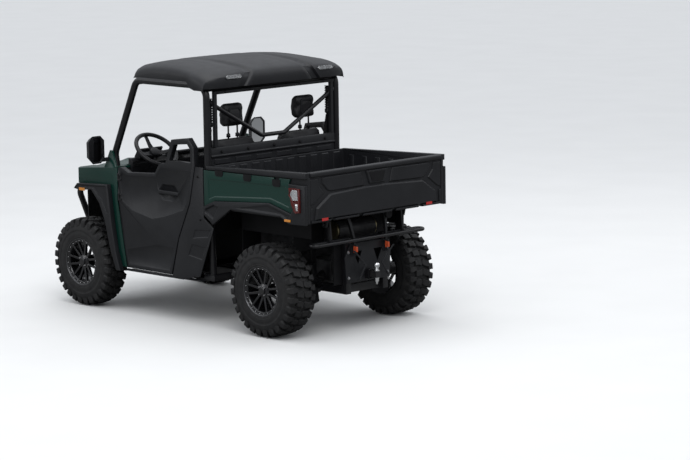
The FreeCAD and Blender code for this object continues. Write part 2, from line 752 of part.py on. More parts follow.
def shock_line(axle_x, tip_y, seat_y):
    """Lower and upper end of the shock that stands on a lower arm."""
    share = (seat_y - rail_face) / (tip_y - rail_face)
    seat_z = rail_mid_z + share * (low_tip - rail_mid_z) + d.arm_thickness / 2 + 6
    return (Vector(axle_x + d.shock_offset, seat_y, seat_z),
            Vector(axle_x + d.shock_offset, d.shock_top_y, d.shock_top_z))


low_tip = d.axle_z - d.knuckle_height / 2 - d.ball_gap - d.arm_thickness / 2
high_tip = d.axle_z + d.knuckle_height / 2 + d.ball_gap + d.arm_thickness / 2
rail_mid_z = (d.rail_low + d.rail_high) / 2
rail_face = d.rail_y + d.rail_width / 2 + d.seat_gap
tower_face = d.tower_y + d.tower_width / 2 + d.seat_gap
stem_radius = d.shock_radius / 2
arms = []
shocks = []
# Corners: axle, ball joint, shock seat
for axle_x, tip_y, seat_y in ((d.front_axle_x, d.kingpin_y, d.front_shock_y),
                              (d.rear_axle_x, d.rear_knuckle_y, d.rear_shock_y)):
    low, high = shock_line(axle_x, tip_y, seat_y)
    way = (high - low).normalize()
    length = (high - low).Length
    arms.append(arm_shape(axle_x, rail_face, rail_mid_z, tip_y, low_tip, 1, seat_y))
    shock_hole = Part.makeCylinder(stem_radius + 3, length, low, way)
    arms.append(arm_shape(axle_x, tower_face, high_tip + 20, tip_y, high_tip, -1).cut(shock_hole))
    stem = Part.makeCylinder(stem_radius, length + 20, low - way * 10, way)
    room = block((low.x - 100, low.y - 130, low.z + d.seat_gap),
                 (low.x + 100, low.y + 70, high.z - d.seat_gap))
    # The spring's turns as ridges round the stem
    coil_start = length * (d.shock_coil_z - low.z) / (high.z - low.z)
    coil_length = length - coil_start - 25
    turns = int(d.shock_turns)
    pitch = coil_length / turns
    ridges = [(0, d.shock_radius * 0.75)]
    for k in range(turns):
        ridges += [(pitch * (k + 0.5), d.shock_radius), (pitch * (k + 1), d.shock_radius * 0.75)]
    coil = facet_ring(ridges + [(coil_length, stem_radius - d.weld), (0, stem_radius - d.weld)], 16)
    coil.Placement = FreeCAD.Placement(low + way * coil_start, FreeCAD.Rotation(Vector(0, 1, 0), way))
    shocks.append(stem.common(room).fuse(coil))
both_sides("suspension_arms", shaped("left_arms", Part.makeCompound(arms)))
both_sides("shocks", shaped("left_shocks", Part.makeCompound(shocks)))

# Half shafts with their boots
shafts = []
for axle_x, end_y in ((d.front_axle_x, d.kingpin_y - d.knuckle_depth / 2 - 22),
                      (d.rear_axle_x, d.rear_knuckle_y - d.rear_knuckle_depth / 2 - 4)):
    start = Vector(axle_x, d.drive_y - 12, d.shaft_inner_z)
    end = Vector(axle_x, end_y, d.axle_z)
    way = (end - start).normalize()
    shaft = Part.makeCylinder(d.shaft_radius, (end - start).Length, start, way)
    outer_boot = Part.makeCone(d.boot_radius, d.boot_radius * 0.55, 60, end - way * 4, way * -1)
    inner_boot = Part.makeCone(d.boot_radius, d.boot_radius * 0.55, 70, start, way)
    face_y = d.drive_y + d.seat_gap
    inboard = block((axle_x - 100, face_y - 60, d.axle_z - 50), (axle_x + 100, face_y, d.axle_z + 150))
    shafts.append(shaft.fuse([outer_boot, inner_boot]).cut(inboard))
both_sides("half_shafts", shaped("left_shafts", Part.makeCompound(shafts)))

# Frame
RAIL_IN = "rail_y - rail_width/2"
RAIL_OUT = "rail_y + rail_width/2"
TOWER_IN = "tower_y - tower_width/2"
TOWER_OUT = "tower_y + tower_width/2"
frame_half = [
    box("rail", ("rail_rear", RAIL_IN, "rail_low"), ("rail_front", RAIL_OUT, "rail_high")),
    box("outer_rail", ("cage_rear_x - 40", "sill_in", "sill_low"),
        ("cage_front_foot_x + 30", "sill_out", "sill_high")),
    box("outrigger_front", ("cage_front_foot_x - 100", RAIL_IN, "sill_low"),
        ("cage_front_foot_x - 60", "sill_in + weld", "sill_high")),
    box("outrigger_rear", ("cage_rear_x - 40", RAIL_IN, "sill_low"),
        ("cage_rear_x", "sill_in + weld", "sill_high")),
    box("bed_rest", ("rear_axle_x", TOWER_IN, "tower_z - bar_depth"),
        ("engine_rear_x - 60", TOWER_OUT, "bed_floor_z - seat_gap")),
    box("nose_post", ("rail_front - 40", RAIL_IN, "rail_low"), ("rail_front", RAIL_OUT, "tower_z")),
    box("nose_arm", ("front_axle_x", RAIL_IN, "tower_z - bar_depth"), ("rail_front", TOWER_OUT, "tower_z")),
    box("bracket_arm", ("pivot_x - 24", RAIL_IN, "loop_z - 14"),
        ("pivot_x + 24", "pivot_y - 20", "loop_z + 14")),
    rod("bed_pin", "y", "pivot_pin", ("pivot_x", "pivot_y - 20", "pivot_z"), "46"),
    box("rear_post", ("plate_x", RAIL_IN, "rail_low"), ("rail_rear", RAIL_OUT, "loop_z + 14")),
]
# The bracket narrows from the arm to the bed's hinge pin
bracket = [("pivot_x - 40", "loop_z - 14"), ("pivot_x + 40", "loop_z - 14"),
           ("pivot_x + 22", "pivot_z + 24"),
           ("pivot_x - 22", "pivot_z + 24")]
frame_half.append(plate("bed_bracket", "XZ", bracket, "pivot_y - pivot_plate - bracket_plate",
                        "pivot_y - pivot_plate"))
for name, x in (("front_tower", "front_axle_x"), ("rear_tower", "rear_axle_x")):
    for post, start in (("_front", " + tower_reach - tower_post"), ("_back", " - tower_reach")):
        near = x + start
        far = near + " + tower_post"
        frame_half.append(box(name + post, (near, TOWER_IN, "rail_high"), (far, TOWER_OUT, "tower_z")))
        frame_half.append(box(name + post + "_foot", (near, RAIL_IN, "rail_high - weld"),
                              (far, TOWER_OUT, "rail_high + 30")))
    frame_half.append(box(name + "_top", (x + " - tower_reach", TOWER_IN, "tower_z - bar_depth"),
                          (x + " + tower_reach", TOWER_OUT, "tower_z")))
    frame_half.append(box(name + "_eye", (x + " + shock_offset - 26", TOWER_OUT + " - weld", "shock_top_z"),
                          (x + " + tower_reach", "shock_top_y + 37", "shock_top_z + 26")))
half = join("frame_half", frame_half, refine=False)
# Cross members: front face, low z, high z, reach to each side
CROSSES = [
    ("rail_front", "rail_low", "rail_high", "rail_y"),
    ("cage_front_foot_x - 60", "rail_low", "rail_high", "rail_y"),
    ("seat_box_front", "rail_low", "rail_high", "rail_y"),
    ("cage_rear_x", "rail_low", "rail_high", "rail_y"),
    ("rear_axle_x + 30", "rail_low", "rail_high", "rail_y"),
    ("rail_rear + member", "rail_low", "rail_high", "rail_y"),
    ("rear_axle_x + 30", "tower_z - bar_depth", "tower_z", "tower_y"),
    ("front_axle_x + 30", "tower_z - bar_depth", "tower_z", "tower_y"),
    ("rail_rear", "hitch_z - receiver/2", "hitch_z + receiver/2", "rail_y"),
]
cross = [box("cross_%d" % i, (x + " - member", "-" + reach, low), (x, reach, high))
         for i, (x, low, high, reach) in enumerate(CROSSES)]
belly_sheet = box("belly_plate", ("cage_rear_x - 20", "-(%s)" % RAIL_OUT, "rail_low - belly"),
            ("cage_front_foot_x", RAIL_OUT, "rail_low"))
front_drive = box("front_drive", ("front_axle_x - drive_reach", "-drive_y", "rail_low + 10"),
                  ("front_axle_x + drive_reach", "drive_y", "rail_low + 10 + front_drive_height"))
front_mount = box("front_drive_mount", ("front_axle_x - 40", "-rail_y", "rail_low + 10"),
                  ("front_axle_x + 40", "rail_y", "rail_high - 20"))
join("frame", [half, mirrored("frame_half_right", half)] + cross + [belly_sheet, front_drive, front_mount],
     refine=False)

# Engine with the rear drive behind it
engine_block = box("engine_block", ("engine_rear_x", "-engine_y", "rail_high + seat_gap"),
                   ("engine_front_x", "engine_y", "engine_top_z"))
rear_drive = box("rear_drive", ("rear_axle_x - drive_reach", "-drive_y", "rail_high + seat_gap"),
                 ("engine_rear_x + 10", "drive_y", "rail_high + rear_drive_height"))
join("engine", [engine_block, rear_drive])

# Muffler
can = rod("muffler_can", "y", "muffler_radius", ("muffler_x", "-muffler_length/2", "muffler_z"),
          "muffler_length")
hanger = box("muffler_hanger", ("muffler_x - 10", "-15", "rail_high + 60"),
             ("muffler_x + 10", "15", "muffler_z - muffler_radius/2"))
hanger_foot = box("muffler_hanger_foot", ("muffler_x - 10", "-15", "rail_high + 60"),
                  ("rear_axle_x - drive_reach - seat_gap", "15", "rail_high + 90"))
join("muffler", [can, hanger, hanger_foot])


# Cab floor, seat box and firewall folded from one sheet
def folded(points, thickness):
    """Both faces of a folded sheet: the line itself and the same line moved over by the thickness."""
    moved = []
    for i, (x, z) in enumerate(points):
        before = points[max(i - 1, 0)]
        after = points[min(i + 1, len(points) - 1)]
        normals = []
        for a, b in ((before, (x, z)), ((x, z), after)):
            if a != b:
                run = math.hypot(b[0] - a[0], b[1] - a[1])
                normals.append(((a[1] - b[1]) / run, (b[0] - a[0]) / run))
        nx = sum(n[0] for n in normals) / len(normals)
        nz = sum(n[1] for n in normals) / len(normals)
        grow = thickness / (nx * nx + nz * nz)
        moved.append((x + nx * grow, z + nz * grow))
    return list(points) + moved[::-1]


floor_z = d.sill_high + d.seat_gap
box_top_x = d.seat_box_front - 30
floor_line = [(d.firewall_x, d.door_shoulder_z), (d.firewall_x, d.seat_box_z), (box_top_x, d.seat_box_z),
              (d.seat_box_front, floor_z), (d.cage_front_foot_x + 20, floor_z), (d.toe_x, d.toe_z)]
floor_pan = across(folded(floor_line, d.sheet), -d.floor_y, d.floor_y)
cheek = [(d.firewall_x, d.seat_box_z + d.sheet / 2), (box_top_x, d.seat_box_z + d.sheet / 2),
         (d.seat_box_front, floor_z), (d.firewall_x, floor_z)]
cheeks = [across(cheek, y, y + d.sheet) for y in (d.floor_y - d.sheet, -d.floor_y)]
shaped("floor", floor_pan.fuse(cheeks))

# Seats: plain closed solids for the soft parts
seat_z = d.seat_box_z + d.sheet + d.seat_gap
wall_x = d.firewall_x + d.sheet + d.seat_gap
cushion_line = [(wall_x + 105, seat_z), (wall_x + 167, seat_z + d.cushion_height * 0.8),
                (d.seat_box_front + d.cushion_nose - 20, seat_z + d.cushion_height),
                (d.seat_box_front + d.cushion_nose, seat_z + d.cushion_height * 0.36),
                (d.seat_box_front + d.cushion_nose - 50, seat_z)]
back_line = [(wall_x + 99, seat_z), (wall_x + 69 + d.back_thickness, seat_z + d.cushion_height + 6),
             (wall_x - 13 + d.back_thickness, d.back_top_z + 90), (wall_x + 77, d.back_top_z + 140),
             (wall_x + 15, d.back_top_z + 140), (wall_x, d.back_top_z - 170), (wall_x, seat_z)]
head_low = d.head_z - d.head_height / 2
head_high = d.head_z + d.head_height / 2
head_line = [(wall_x + 17, head_low), (wall_x + 87, head_low), (wall_x + 105, d.head_z),
             (wall_x + 77, head_high), (wall_x + 22, head_high)]
cushions = []
backs = []
for side, hand in SIDES:
    low_y = hand * d.seat_y - d.seat_width / 2
    high_y = hand * d.seat_y + d.seat_width / 2
    cushions.append(across(cushion_line, low_y, high_y))
    back = across(back_line, low_y, high_y)
    for post in (-d.head_post, d.head_post):
        foot = Vector(wall_x + 49, hand * d.seat_y + post, d.back_top_z + 110)
        back = back.fuse(Part.makeCylinder(7, head_low + 30 - foot.z, foot))
    backs.append(back.fuse(across(head_line, hand * d.seat_y - d.head_width / 2,
                                  hand * d.seat_y + d.head_width / 2)))
shaped("seat_cushions", Part.makeCompound(cushions))
shaped("seat_backs", Part.makeCompound(backs))

# Dashboard with the steering column and a shelf pocket on each side
dash_front_z = d.hood_rear_z - 2 * d.hood_thickness
dash_line = [(d.dash_front, d.dash_low), (d.dash_rear + 40, d.dash_low), (d.dash_rear, d.dash_low + 70),
             (d.dash_rear - 20, d.dash_high - 40), (d.dash_rear + 6, d.dash_high),
             (d.dash_lip, d.dash_high + 4),
             (d.dash_lip, dash_front_z), (d.dash_front, dash_front_z)]
dash_y = d.hood_y + d.hood_gap - d.seat_gap
tilt = math.radians(d.wheel_tilt)
shaft_way = Vector(-math.cos(tilt), 0, math.sin(tilt))
wheel_centre = Vector(d.wheel_centre_x, d.wheel_centre_y, d.wheel_centre_z)
column_foot = wheel_centre - shaft_way * d.column_start
column = Part.makeCylinder(d.column_radius, d.column_length, column_foot, shaft_way)
shaft_bore = Part.makeCylinder(d.steering_shaft + d.hinge_clearance, d.column_length + 20, column_foot,
                               shaft_way)
pocket_y = d.seat_width * 0.3
pocket = across([(d.dash_rear - 30, d.dash_low + 95), (d.dash_rear + 55, d.dash_low + 95),
                 (d.dash_rear + 55, d.dash_high - 75), (d.dash_rear - 30, d.dash_high - 75)],
                -d.seat_y - pocket_y, -d.seat_y + pocket_y)
shaped("dash", across(dash_line, -dash_y, dash_y).cut(pocket).fuse(column).cut(shaft_bore))

# Steering wheel
ring = Part.makeTorus(d.wheel_ring, d.wheel_grip)
shaft = Part.makeCylinder(d.steering_shaft, d.shaft_length - d.wheel_dish + 10,
                          Vector(0, 0, -d.shaft_length))
spider = [Part.makeCylinder(d.wheel_hub, d.wheel_hub, Vector(0, 0, -d.wheel_dish)), shaft]
for angle in (90, 210, 330):
    spoke = block((0, -13, -d.wheel_grip), (d.wheel_ring, 13, -d.wheel_grip + 9))
    spoke.rotate(Vector(), Vector(0, 0, 1), angle)
    spider.append(spoke)
wheel_turn = FreeCAD.Rotation(Vector(0, 0, 1), shaft_way)
shaped("steering_wheel", ring.fuse(spider), FreeCAD.Placement(wheel_centre, wheel_turn))

# Roll cage sides: front leg, pillar, roof tube and rear leg in one bent tube, with the door hinge lugs
foot_z = d.sill_high - 12
cage_path = [(d.cage_front_foot_x, d.cage_foot_y, foot_z), (d.cage_base_x, d.cage_base_y, d.cage_base_z),
             (d.cage_top_front_x, d.cage_y, d.cage_top_z), (d.cage_rear_x, d.cage_y, d.cage_top_z),
             (d.cage_rear_x, d.cage_y, d.door_shoulder_z), (d.cage_rear_x, d.cage_foot_y, foot_z)]
below_feet = block((d.rear_end_x, d.cage_foot_y - d.cutter / 2, foot_z - 60),
                   (d.front_end_x, d.cage_foot_y + d.cutter / 2, floor_z))
cage = tube_shape(cage_path, d.tube, d.tube_bend).cut(below_feet)
link_out = d.side_y - d.skin - d.seat_gap
for z in (d.hinge_high_z, d.hinge_low_z):
    share = (z - d.sill_high) / (d.cage_base_z - d.sill_high)
    pillar_x = d.cage_front_foot_x + share * (d.cage_base_x - d.cage_front_foot_x)
    low_z = z - d.hinge_height / 2
    high_z = z + d.hinge_height / 2
    lug = Part.makeCylinder(d.hinge_radius, d.hinge_height, Vector(d.hinge_x, d.hinge_y, low_z))
    link = block((d.hinge_x, link_out - 12, low_z), (pillar_x, link_out, high_z))
    ear = block((pillar_x - d.tube / 2, d.cage_foot_y, low_z), (pillar_x + d.tube / 2, link_out, high_z))
    neck = block((d.hinge_x, link_out - d.weld, low_z), (d.hinge_x + d.hinge_radius, d.hinge_y, high_z))
    bore = Part.makeCylinder(d.hinge_pin + d.hinge_clearance, d.hinge_height + 2,
                             Vector(d.hinge_x, d.hinge_y, low_z - 1))
    cage = cage.fuse([lug, link, ear, neck]).cut(bore)
both_sides("cage_sides", shaped("cage_left", cage))

# Cross tubes of the cage at its upper bends, and the brace behind the seats
edge = d.cage_in_y - d.seat_gap
between_sides = block((d.rear_end_x, -edge, 0), (d.front_end_x, edge, 2 * d.cage_top_z))
cross_tubes = []
places = [Vector(*p) for p in cage_path]
for before, corner, after in zip(places[1:3], places[2:4], places[3:5]):
    arc_start, middle, arc_end = bend_at(before, corner, after, d.tube_bend)
    reach = arc_start.y - d.tube - d.seat_gap
    start = Vector(middle.x, -reach, middle.z)
    cross_tubes.append(Part.makeCylinder(d.cross_tube, 2 * reach, start, Vector(0, 1, 0)))
brace_left = [(d.cage_rear_x, d.cage_y, d.brace_top_z), (d.cage_rear_x, d.brace_low_y, d.brace_low_z)]
brace_path = brace_left + [(x, -y, z) for x, y, z in reversed(brace_left)]
cross_tubes.append(tube_shape(brace_path, d.brace, d.brace_bend).common(between_sides))
shaped("cage_cross", Part.makeCompound(cross_tubes))

# Rear cab panel below the brace: a beaded section with slots
bead = d.skin * 1.5
panel_middle_z = (d.panel_low_z + d.panel_high_z) / 2
panel_front_x = d.cage_rear_x + d.skin / 4
panel_rear_x = panel_front_x - d.skin
panel_line = [(panel_front_x, d.panel_low_z), (panel_rear_x, d.panel_low_z),
              (panel_rear_x, panel_middle_z - 32),
              (panel_rear_x - bead, panel_middle_z - 22), (panel_rear_x - bead, panel_middle_z + 22),
              (panel_rear_x, panel_middle_z + 32), (panel_rear_x, d.panel_high_z),
              (panel_front_x, d.panel_high_z)]
slots = [block((panel_rear_x - 1, y - 60, panel_middle_z + 42),
               (panel_front_x + 1, y + 60, panel_middle_z + 56))
         for y in (-edge * 0.62, -edge * 0.2, edge * 0.2, edge * 0.62)]
shaped("rear_cab_panel", across(panel_line, -edge, edge).cut(slots))


# Roof: lofted through cross sections with two long ridges, and a rear wall with a recess
def roof_section(x, half, rise):
    """One section over the roof's underside, listed from right to left."""
    low = d.roof_low_z
    right = [(half, low), (half, low + rise * 0.35), (half - 64, low + rise * 0.8),
             (half * 0.62, low + rise * 0.86),
             (half * 0.56, low + rise), (half * 0.32, low + rise), (half * 0.26, low + rise * 0.9)]
    points = right + [(-y, z) for y, z in reversed(right)]
    return Part.makePolygon([Vector(x, y, z) for y, z in points + points[:1]])


# Sections: place along the roof, narrower than its full width, lower than its crown
ROOF_SECTIONS = [(d.roof_rear_x, 20, 42), (d.roof_rear_x + 60, 0, 8),
                 ((d.roof_rear_x + d.roof_step_x) / 2, 0, 0),
                 (d.roof_step_x, 0, 6), (d.roof_step_x + 50, 4, 32), (d.roof_front_x - 60, 14, 50),
                 (d.roof_front_x, 44, 98)]
shell = Part.makeLoft([roof_section(x, d.roof_y - narrow, d.roof_rise - lower)
                       for x, narrow, lower in ROOF_SECTIONS], True, True)
wall_half = d.roof_y - 20
rear_wall = [(-wall_half, d.roof_low_z + d.weld), (wall_half, d.roof_low_z + d.weld),
             (wall_half - 50, d.roof_low_z - d.roof_drop), (50 - wall_half, d.roof_low_z - d.roof_drop)]
wall = polygon([Vector(d.roof_rear_x, y, z) for y, z in rear_wall]).extrude(Vector(d.roof_wall, 0, 0))
roof_body = shaped("roof_body", shell.fuse(wall))
roof_recess = plate("roof_recess", "YZ", [("-roof_y*0.39", "roof_low_z - 26"),
                                          ("roof_y*0.39", "roof_low_z - 26"),
                                          ("roof_y*0.3", "roof_low_z + roof_rise*0.55"),
                                          ("-roof_y*0.3", "roof_low_z + roof_rise*0.55")],
                    "roof_rear_x", "roof_rear_x + 2*crease", draft="draft/2")
cut("roof", roof_body, [roof_recess])

# Doors: slab with window sill, arch, moulded faces, handle recess and hinge pins
DOOR_IN = "side_y - door_thickness"
DOOR_SPAN = ("door_rear_x", "door_front_x")
BELOW = ("door_low_z", "door_shoulder_z")
ABOVE = ("door_shoulder_z", "door_arch_z")
door_sill = shifted(spread(*DOOR_SPAN, *BELOW, [(1, 0.914)]), "-9")
door_sill += spread(*DOOR_SPAN, *BELOW, [(0.955, 0.922), (0.857, 0.881), (0.511, 0.902), (0.454, 0.99),
                                         (0.37, 1.01)])
door_arch = spread(*DOOR_SPAN, *ABOVE, [(0.288, 0.887), (0.073, 1), (0.0067, 0.68)])
door_rear = spread(*DOOR_SPAN, *BELOW, [(0, 1.01), (0.0774, 0.672), (0.228, 0.338), (0.322, 0)])
door_front = spread(*DOOR_SPAN, *BELOW, [(0.895, 0), (1, 0.613)])
arch_hole = spread(*DOOR_SPAN, *ABOVE, [(0.325, 0.141), (0.256, 0.718), (0.09, 0.784), (0.052, 0.606),
                                        (0.052, 0.141)])
door_slab = plate("door_slab", "XZ", door_sill + door_arch + door_rear + door_front, DOOR_IN, "side_y",
                  [arch_hole])
upper_face = spread(*DOOR_SPAN, *BELOW, [(0.955, 0.885), (0.862, 0.851), (0.503, 0.872), (0.436, 0.965),
                                         (0.045, 0.965), (0.113, 0.672), (0.155, 0.6), (0.414, 0.514),
                                         (0.559, 0.484),
                                         (0.817, 0.536), (0.955, 0.62)])
lower_face = spread(*DOOR_SPAN, *BELOW, [(0.9, 0.17), (0.5, 0.25), (0.287, 0.24), (0.345, 0.03),
                                         (0.875, 0.03)])
door_cuts = [
    plate("upper_face", "XZ", upper_face, "side_y - crease", "side_y", draft="draft"),
    plate("lower_face", "XZ", lower_face, "side_y - crease", "side_y", draft="draft"),
    plate("handle_recess", "XZ", chamfered("handle_x", "handle_z", "handle_width", "handle_height", 46),
          "side_y - crease - handle_depth", "side_y + weld", draft="draft/2"),
]
pins = []
for name, z in (("upper", "hinge_high_z"), ("lower", "hinge_low_z")):
    low = z + " - hinge_height/2 - hinge_clearance"
    high = z + " + hinge_height/2 + hinge_clearance"
    door_cuts.append(box("notch_" + name, ("hinge_x - hinge_radius - 4", DOOR_IN + " - weld", low),
                         ("door_front_x + weld", "side_y + weld", high)))
    for place, z_low in (("above", high), ("below", low + " - hinge_end")):
        pins.append(rod("barrel_%s_%s" % (name, place), "z", "hinge_radius", ("hinge_x", "hinge_y", z_low),
                        "hinge_end"))
    pins.append(rod("pin_" + name, "z", "hinge_pin", ("hinge_x", "hinge_y", low + " - weld"),
                    "hinge_height + hinge_clearance*2 + weld*2"))
bar_reach = "handle_width/2 + 2*weld"
handle_rod = box("handle_bar", ("handle_x - " + bar_reach, "side_y - crease - handle_bar/2",
                                "handle_z - handle_bar/2"),
                 ("handle_x + " + bar_reach, "side_y - weld", "handle_z + handle_bar/2"))
door = join("door_left", [cut("door_skin", door_slab, door_cuts), handle_rod] + pins)
mirrored("door_right", door)

# Side panels: pillar cover, sill and lower panel in one skin, with moulded faces
behind_door = shifted(door_rear, "-shut_gap - 2")
panel_top = [("cage_rear_x + weld", "door_shoulder_z + 5"),
             ("door_rear_x - shut_gap", "door_shoulder_z + 5")]
under_door = [(behind_door[3][0], "door_low_z - shut_gap"),
              (door_front[0][0] + " + weld", "door_low_z - shut_gap"),
              (door_front[0][0] + " + 40", "flare_low_z")]
lower_panel = [("rear_reach_x + 532", "door_low_z - 26"), ("rear_reach_x + 338", "door_low_z + 16"),
               ("rear_reach_x + 177", "axle_z + 406"), ("cage_rear_x + weld", "axle_z + 475")]
side_skin = plate("side_skin", "XZ", panel_top + behind_door[1:3] + under_door + lower_panel,
                  "side_y - skin", "side_y")
face_span = ("rear_reach_x + 177", "door_rear_x + 203")
upper_step = spread(*face_span, *BELOW, [(0.53, 0.439), (0.07, 0.455), (0.16, 0.385), (0.58, 0.36)])
lower_step = spread(*face_span, *BELOW, [(0.62, 0.306), (0.24, 0.29), (0.34, 0.174), (0.72, 0.2)])
steps = [plate(name, "XZ", outline, "side_y - skin/2", "side_y", draft="draft")
         for name, outline in (("upper_step", upper_step), ("lower_step", lower_step))]
sill_flange = box("sill_flange", ("rear_reach_x + 338", "sill_out + seat_gap", "flare_low_z + 4"),
                  (door_front[0][0], "side_y - skin + 1", "flare_low_z + 4 + skin"))
side_left = join("side_panel_left", [cut("side_skin_cut", side_skin, steps), sill_flange])
both_sides("side_panels", side_left)

# Front quarter panels with the pillar fairings
before_door = shifted([door_front[1], door_sill[0]], "shut_gap")
leg_rear = [("front_reach_x - 10", "axle_z + 357"), ("front_reach_x + 30", "flare_top_z - 20")]
quarter_outline = [("quarter_front_x", "quarter_top_z"), (before_door[1][0], "quarter_rear_z"),
                   before_door[0],
                   (door_front[0][0] + " + shut_gap + 2", "door_low_z"),
                   (door_front[0][0] + " + 84", "door_low_z")]
quarter_outline += leg_rear + [("quarter_front_x", "flare_top_z - 20")]
quarter_skin = plate("quarter_skin", "XZ", quarter_outline, "side_y - skin", "side_y")
flange_y = d.hood_y + d.hood_gap


def flange_section(x, z):
    """The folded top edge of the quarter panel beside the hood."""
    points = [(flange_y, z - 14), (d.side_y - 1, z - 14), (d.side_y - 1, z), (d.side_y - 20, z + 6),
              (flange_y, z + 6)]
    return Part.makePolygon([Vector(x, y, h) for y, h in points + points[:1]])


flange_ends = [flange_section(d.hinge_x + 30, d.quarter_rear_z - 1),
               flange_section(d.quarter_front_x, d.quarter_top_z)]
top_flange = shaped("quarter_top", Part.makeLoft(flange_ends, True, True))
corner_y = d.fascia_y + d.seat_gap
corner_plan = [(d.quarter_front_x, d.side_y - d.skin), (d.quarter_front_x, d.side_y),
               (d.nose_x - d.nose_corner, corner_y), (d.nose_x - d.nose_corner - d.fascia_wall, corner_y)]
corner_low = polygon([Vector(x, y, d.flare_top_z - 20) for x, y in corner_plan])
corner = shaped("quarter_corner", corner_low.extrude(Vector(0, 0, d.hood_front_z - d.flare_top_z)))
fairing_outline = [("hinge_x + 30", "quarter_rear_z - 6"), ("cage_base_x + 72", "quarter_rear_z - 10"),
                   ("cage_base_x - 2", "cage_base_z + 26"), ("cage_base_x - 26", "cage_base_z + 20")]
fairing = plate("pillar_fairing", "XZ", fairing_outline, "cage_y + tube + weld", "side_y - weld")
quarter_left = join("quarter_left", [quarter_skin, top_flange, corner, fairing])
pin_bore = rod("hood_pin_bore", "y", "hood_pin + hinge_clearance",
               ("hood_rear_x + 8", "hood_y", "hood_rear_z - 14"), "40")
pillar_foot = Vector(d.cage_front_foot_x, d.cage_foot_y, d.sill_high)
pillar_knee = Vector(d.cage_base_x, d.cage_base_y, d.cage_base_z)
pillar_way = (pillar_knee - pillar_foot).normalize()
hole_start = pillar_knee - pillar_way * d.cutter * 0.75
pillar_hole = shaped("pillar_hole", Part.makeCylinder(d.tube + d.pillar_gap, d.cutter, hole_start, pillar_way))
both_sides("quarter_panels", cut("quarter_panel_left", quarter_left, [pin_bore, pillar_hole]))

# Front flares: lip over the wheel and a leg down to the sill, its upper side moulded in
FLARE_SPAN = ("door_front_x", "flare_front_x")
LEG = ("flare_low_z", "flare_top_z")
leg_low = [(door_front[0][0] + " + 42", "flare_low_z"), (door_front[0][0] + " + 92", "flare_low_z")]
flare_top = [(1, 0.909), (0.913, 0.974), (0.162, 1), (0.139, 0.908), (0.081, 0.571), (0.0041, 0.2335)]
flare_arch = [(0.114, 0.218), (0.242, 0.571), (0.367, 0.77), (0.563, 0.92), (0.843, 0.893)]
flare_outline = spread(*FLARE_SPAN, *LEG, flare_top) + leg_low + spread(*FLARE_SPAN, *LEG, flare_arch)
flare_face = spread(*FLARE_SPAN, *LEG, [(0.94, 0.927), (0.885, 0.954), (0.222, 0.975), (0.2, 0.915),
                                        (0.16, 0.66),
                                        (0.205, 0.66), (0.32, 0.815), (0.5, 0.94)])
flare_cut = plate("flare_face", "XZ", flare_face, "flare_y - crease", "flare_y", draft="draft/2")
flare = plate("flare_slab", "XZ", flare_outline, "side_y + seat_gap", "flare_y")
both_sides("front_flares", cut("flare_left", flare, [flare_cut]))


# Hood with a raised middle, hinge pins at its rear corners
def hood_section(x, half, z, crown_rise):
    right = [(half, z), (half - 60, z + 6), (half * 0.52, z + 8), (half * 0.45, z + crown_rise),
             (half * 0.35, z + crown_rise * 0.7)]
    low = z - d.hood_thickness
    points = right + [(-y, h) for y, h in reversed(right)] + [(-half, low), (half, low)]
    return Part.makePolygon([Vector(x, y, h) for y, h in points + points[:1]])


hood_nose_y = d.fascia_y - 38
hood_body = Part.makeLoft([hood_section(d.hood_rear_x, d.hood_y, d.hood_rear_z - 3, d.hood_crown),
                           hood_section(d.quarter_front_x - 52, d.hood_y, d.quarter_top_z + 10, d.hood_crown),
                           hood_section(d.hood_front_x, hood_nose_y, d.hood_front_z, d.hood_crown / 2)],
                          True, True)
hood_pins = []
for side, hand in SIDES:
    pin_start = Vector(d.hood_rear_x + 8, hand * (d.hood_y - 12), d.hood_rear_z - 14)
    hood_pins.append(Part.makeCylinder(d.hood_pin, 30, pin_start, Vector(0, hand, 0)))
shaped("hood", hood_body.fuse(hood_pins))

# Front fascia: shell round the nose with the grille, on the frame's nose posts
back = d.fascia_wall
corner_x = d.nose_x - d.nose_corner
nose_right = [(corner_x, -d.fascia_y), (d.nose_x, -d.fascia_flat_y)]
nose_inner = [(d.nose_x - back, d.fascia_flat_y - 4), (corner_x - back, d.fascia_y)]
plan = nose_right + [(x, -y) for x, y in reversed(nose_right)]
plan += nose_inner[::-1] + [(x, -y) for x, y in nose_inner]
fascia_top = d.hood_front_z - 20
fascia_low = polygon([Vector(x, y, d.nose_low_z) for x, y in plan])
fascia = fascia_low.extrude(Vector(0, 0, fascia_top - d.nose_low_z))
for side, hand in SIDES:
    # The lower corners stay clear of the steered tyres
    clear = [(d.fascia_y - 138, d.nose_low_z - 5), (d.fascia_y + 12, d.nose_low_z - 5),
             (d.fascia_y + 12, d.nose_low_z + 100)]
    tool = polygon([Vector(d.nose_x - 100, hand * y, z) for y, z in clear]).extrude(Vector(120, 0, 0))
    fascia = fascia.cut(tool)
grille_y = d.fascia_flat_y - 60
grille_hole = block((d.nose_x - back - 1, -grille_y, d.grille_low_z),
                    (d.nose_x + 1, grille_y, d.grille_low_z + d.grille_height))
shelf_x = d.rail_front + d.seat_gap
shelf = block((shelf_x, -d.rail_y - 20, d.nose_low_z + 40),
              (d.nose_x - back / 2, d.rail_y + 20, d.nose_low_z + 52))
grille = []
pitch = d.grille_height / (d.grille_bars + 1)
for k in range(int(d.grille_bars)):
    low_z = d.grille_low_z + pitch * (k + 1) - pitch * 0.2
    grille.append(block((d.nose_x - back, -grille_y - d.weld, low_z),
                        (d.nose_x - 2, grille_y + d.weld, low_z + pitch * 0.4)))
shaped("front_fascia", fascia.cut(grille_hole).fuse([shelf] + grille))

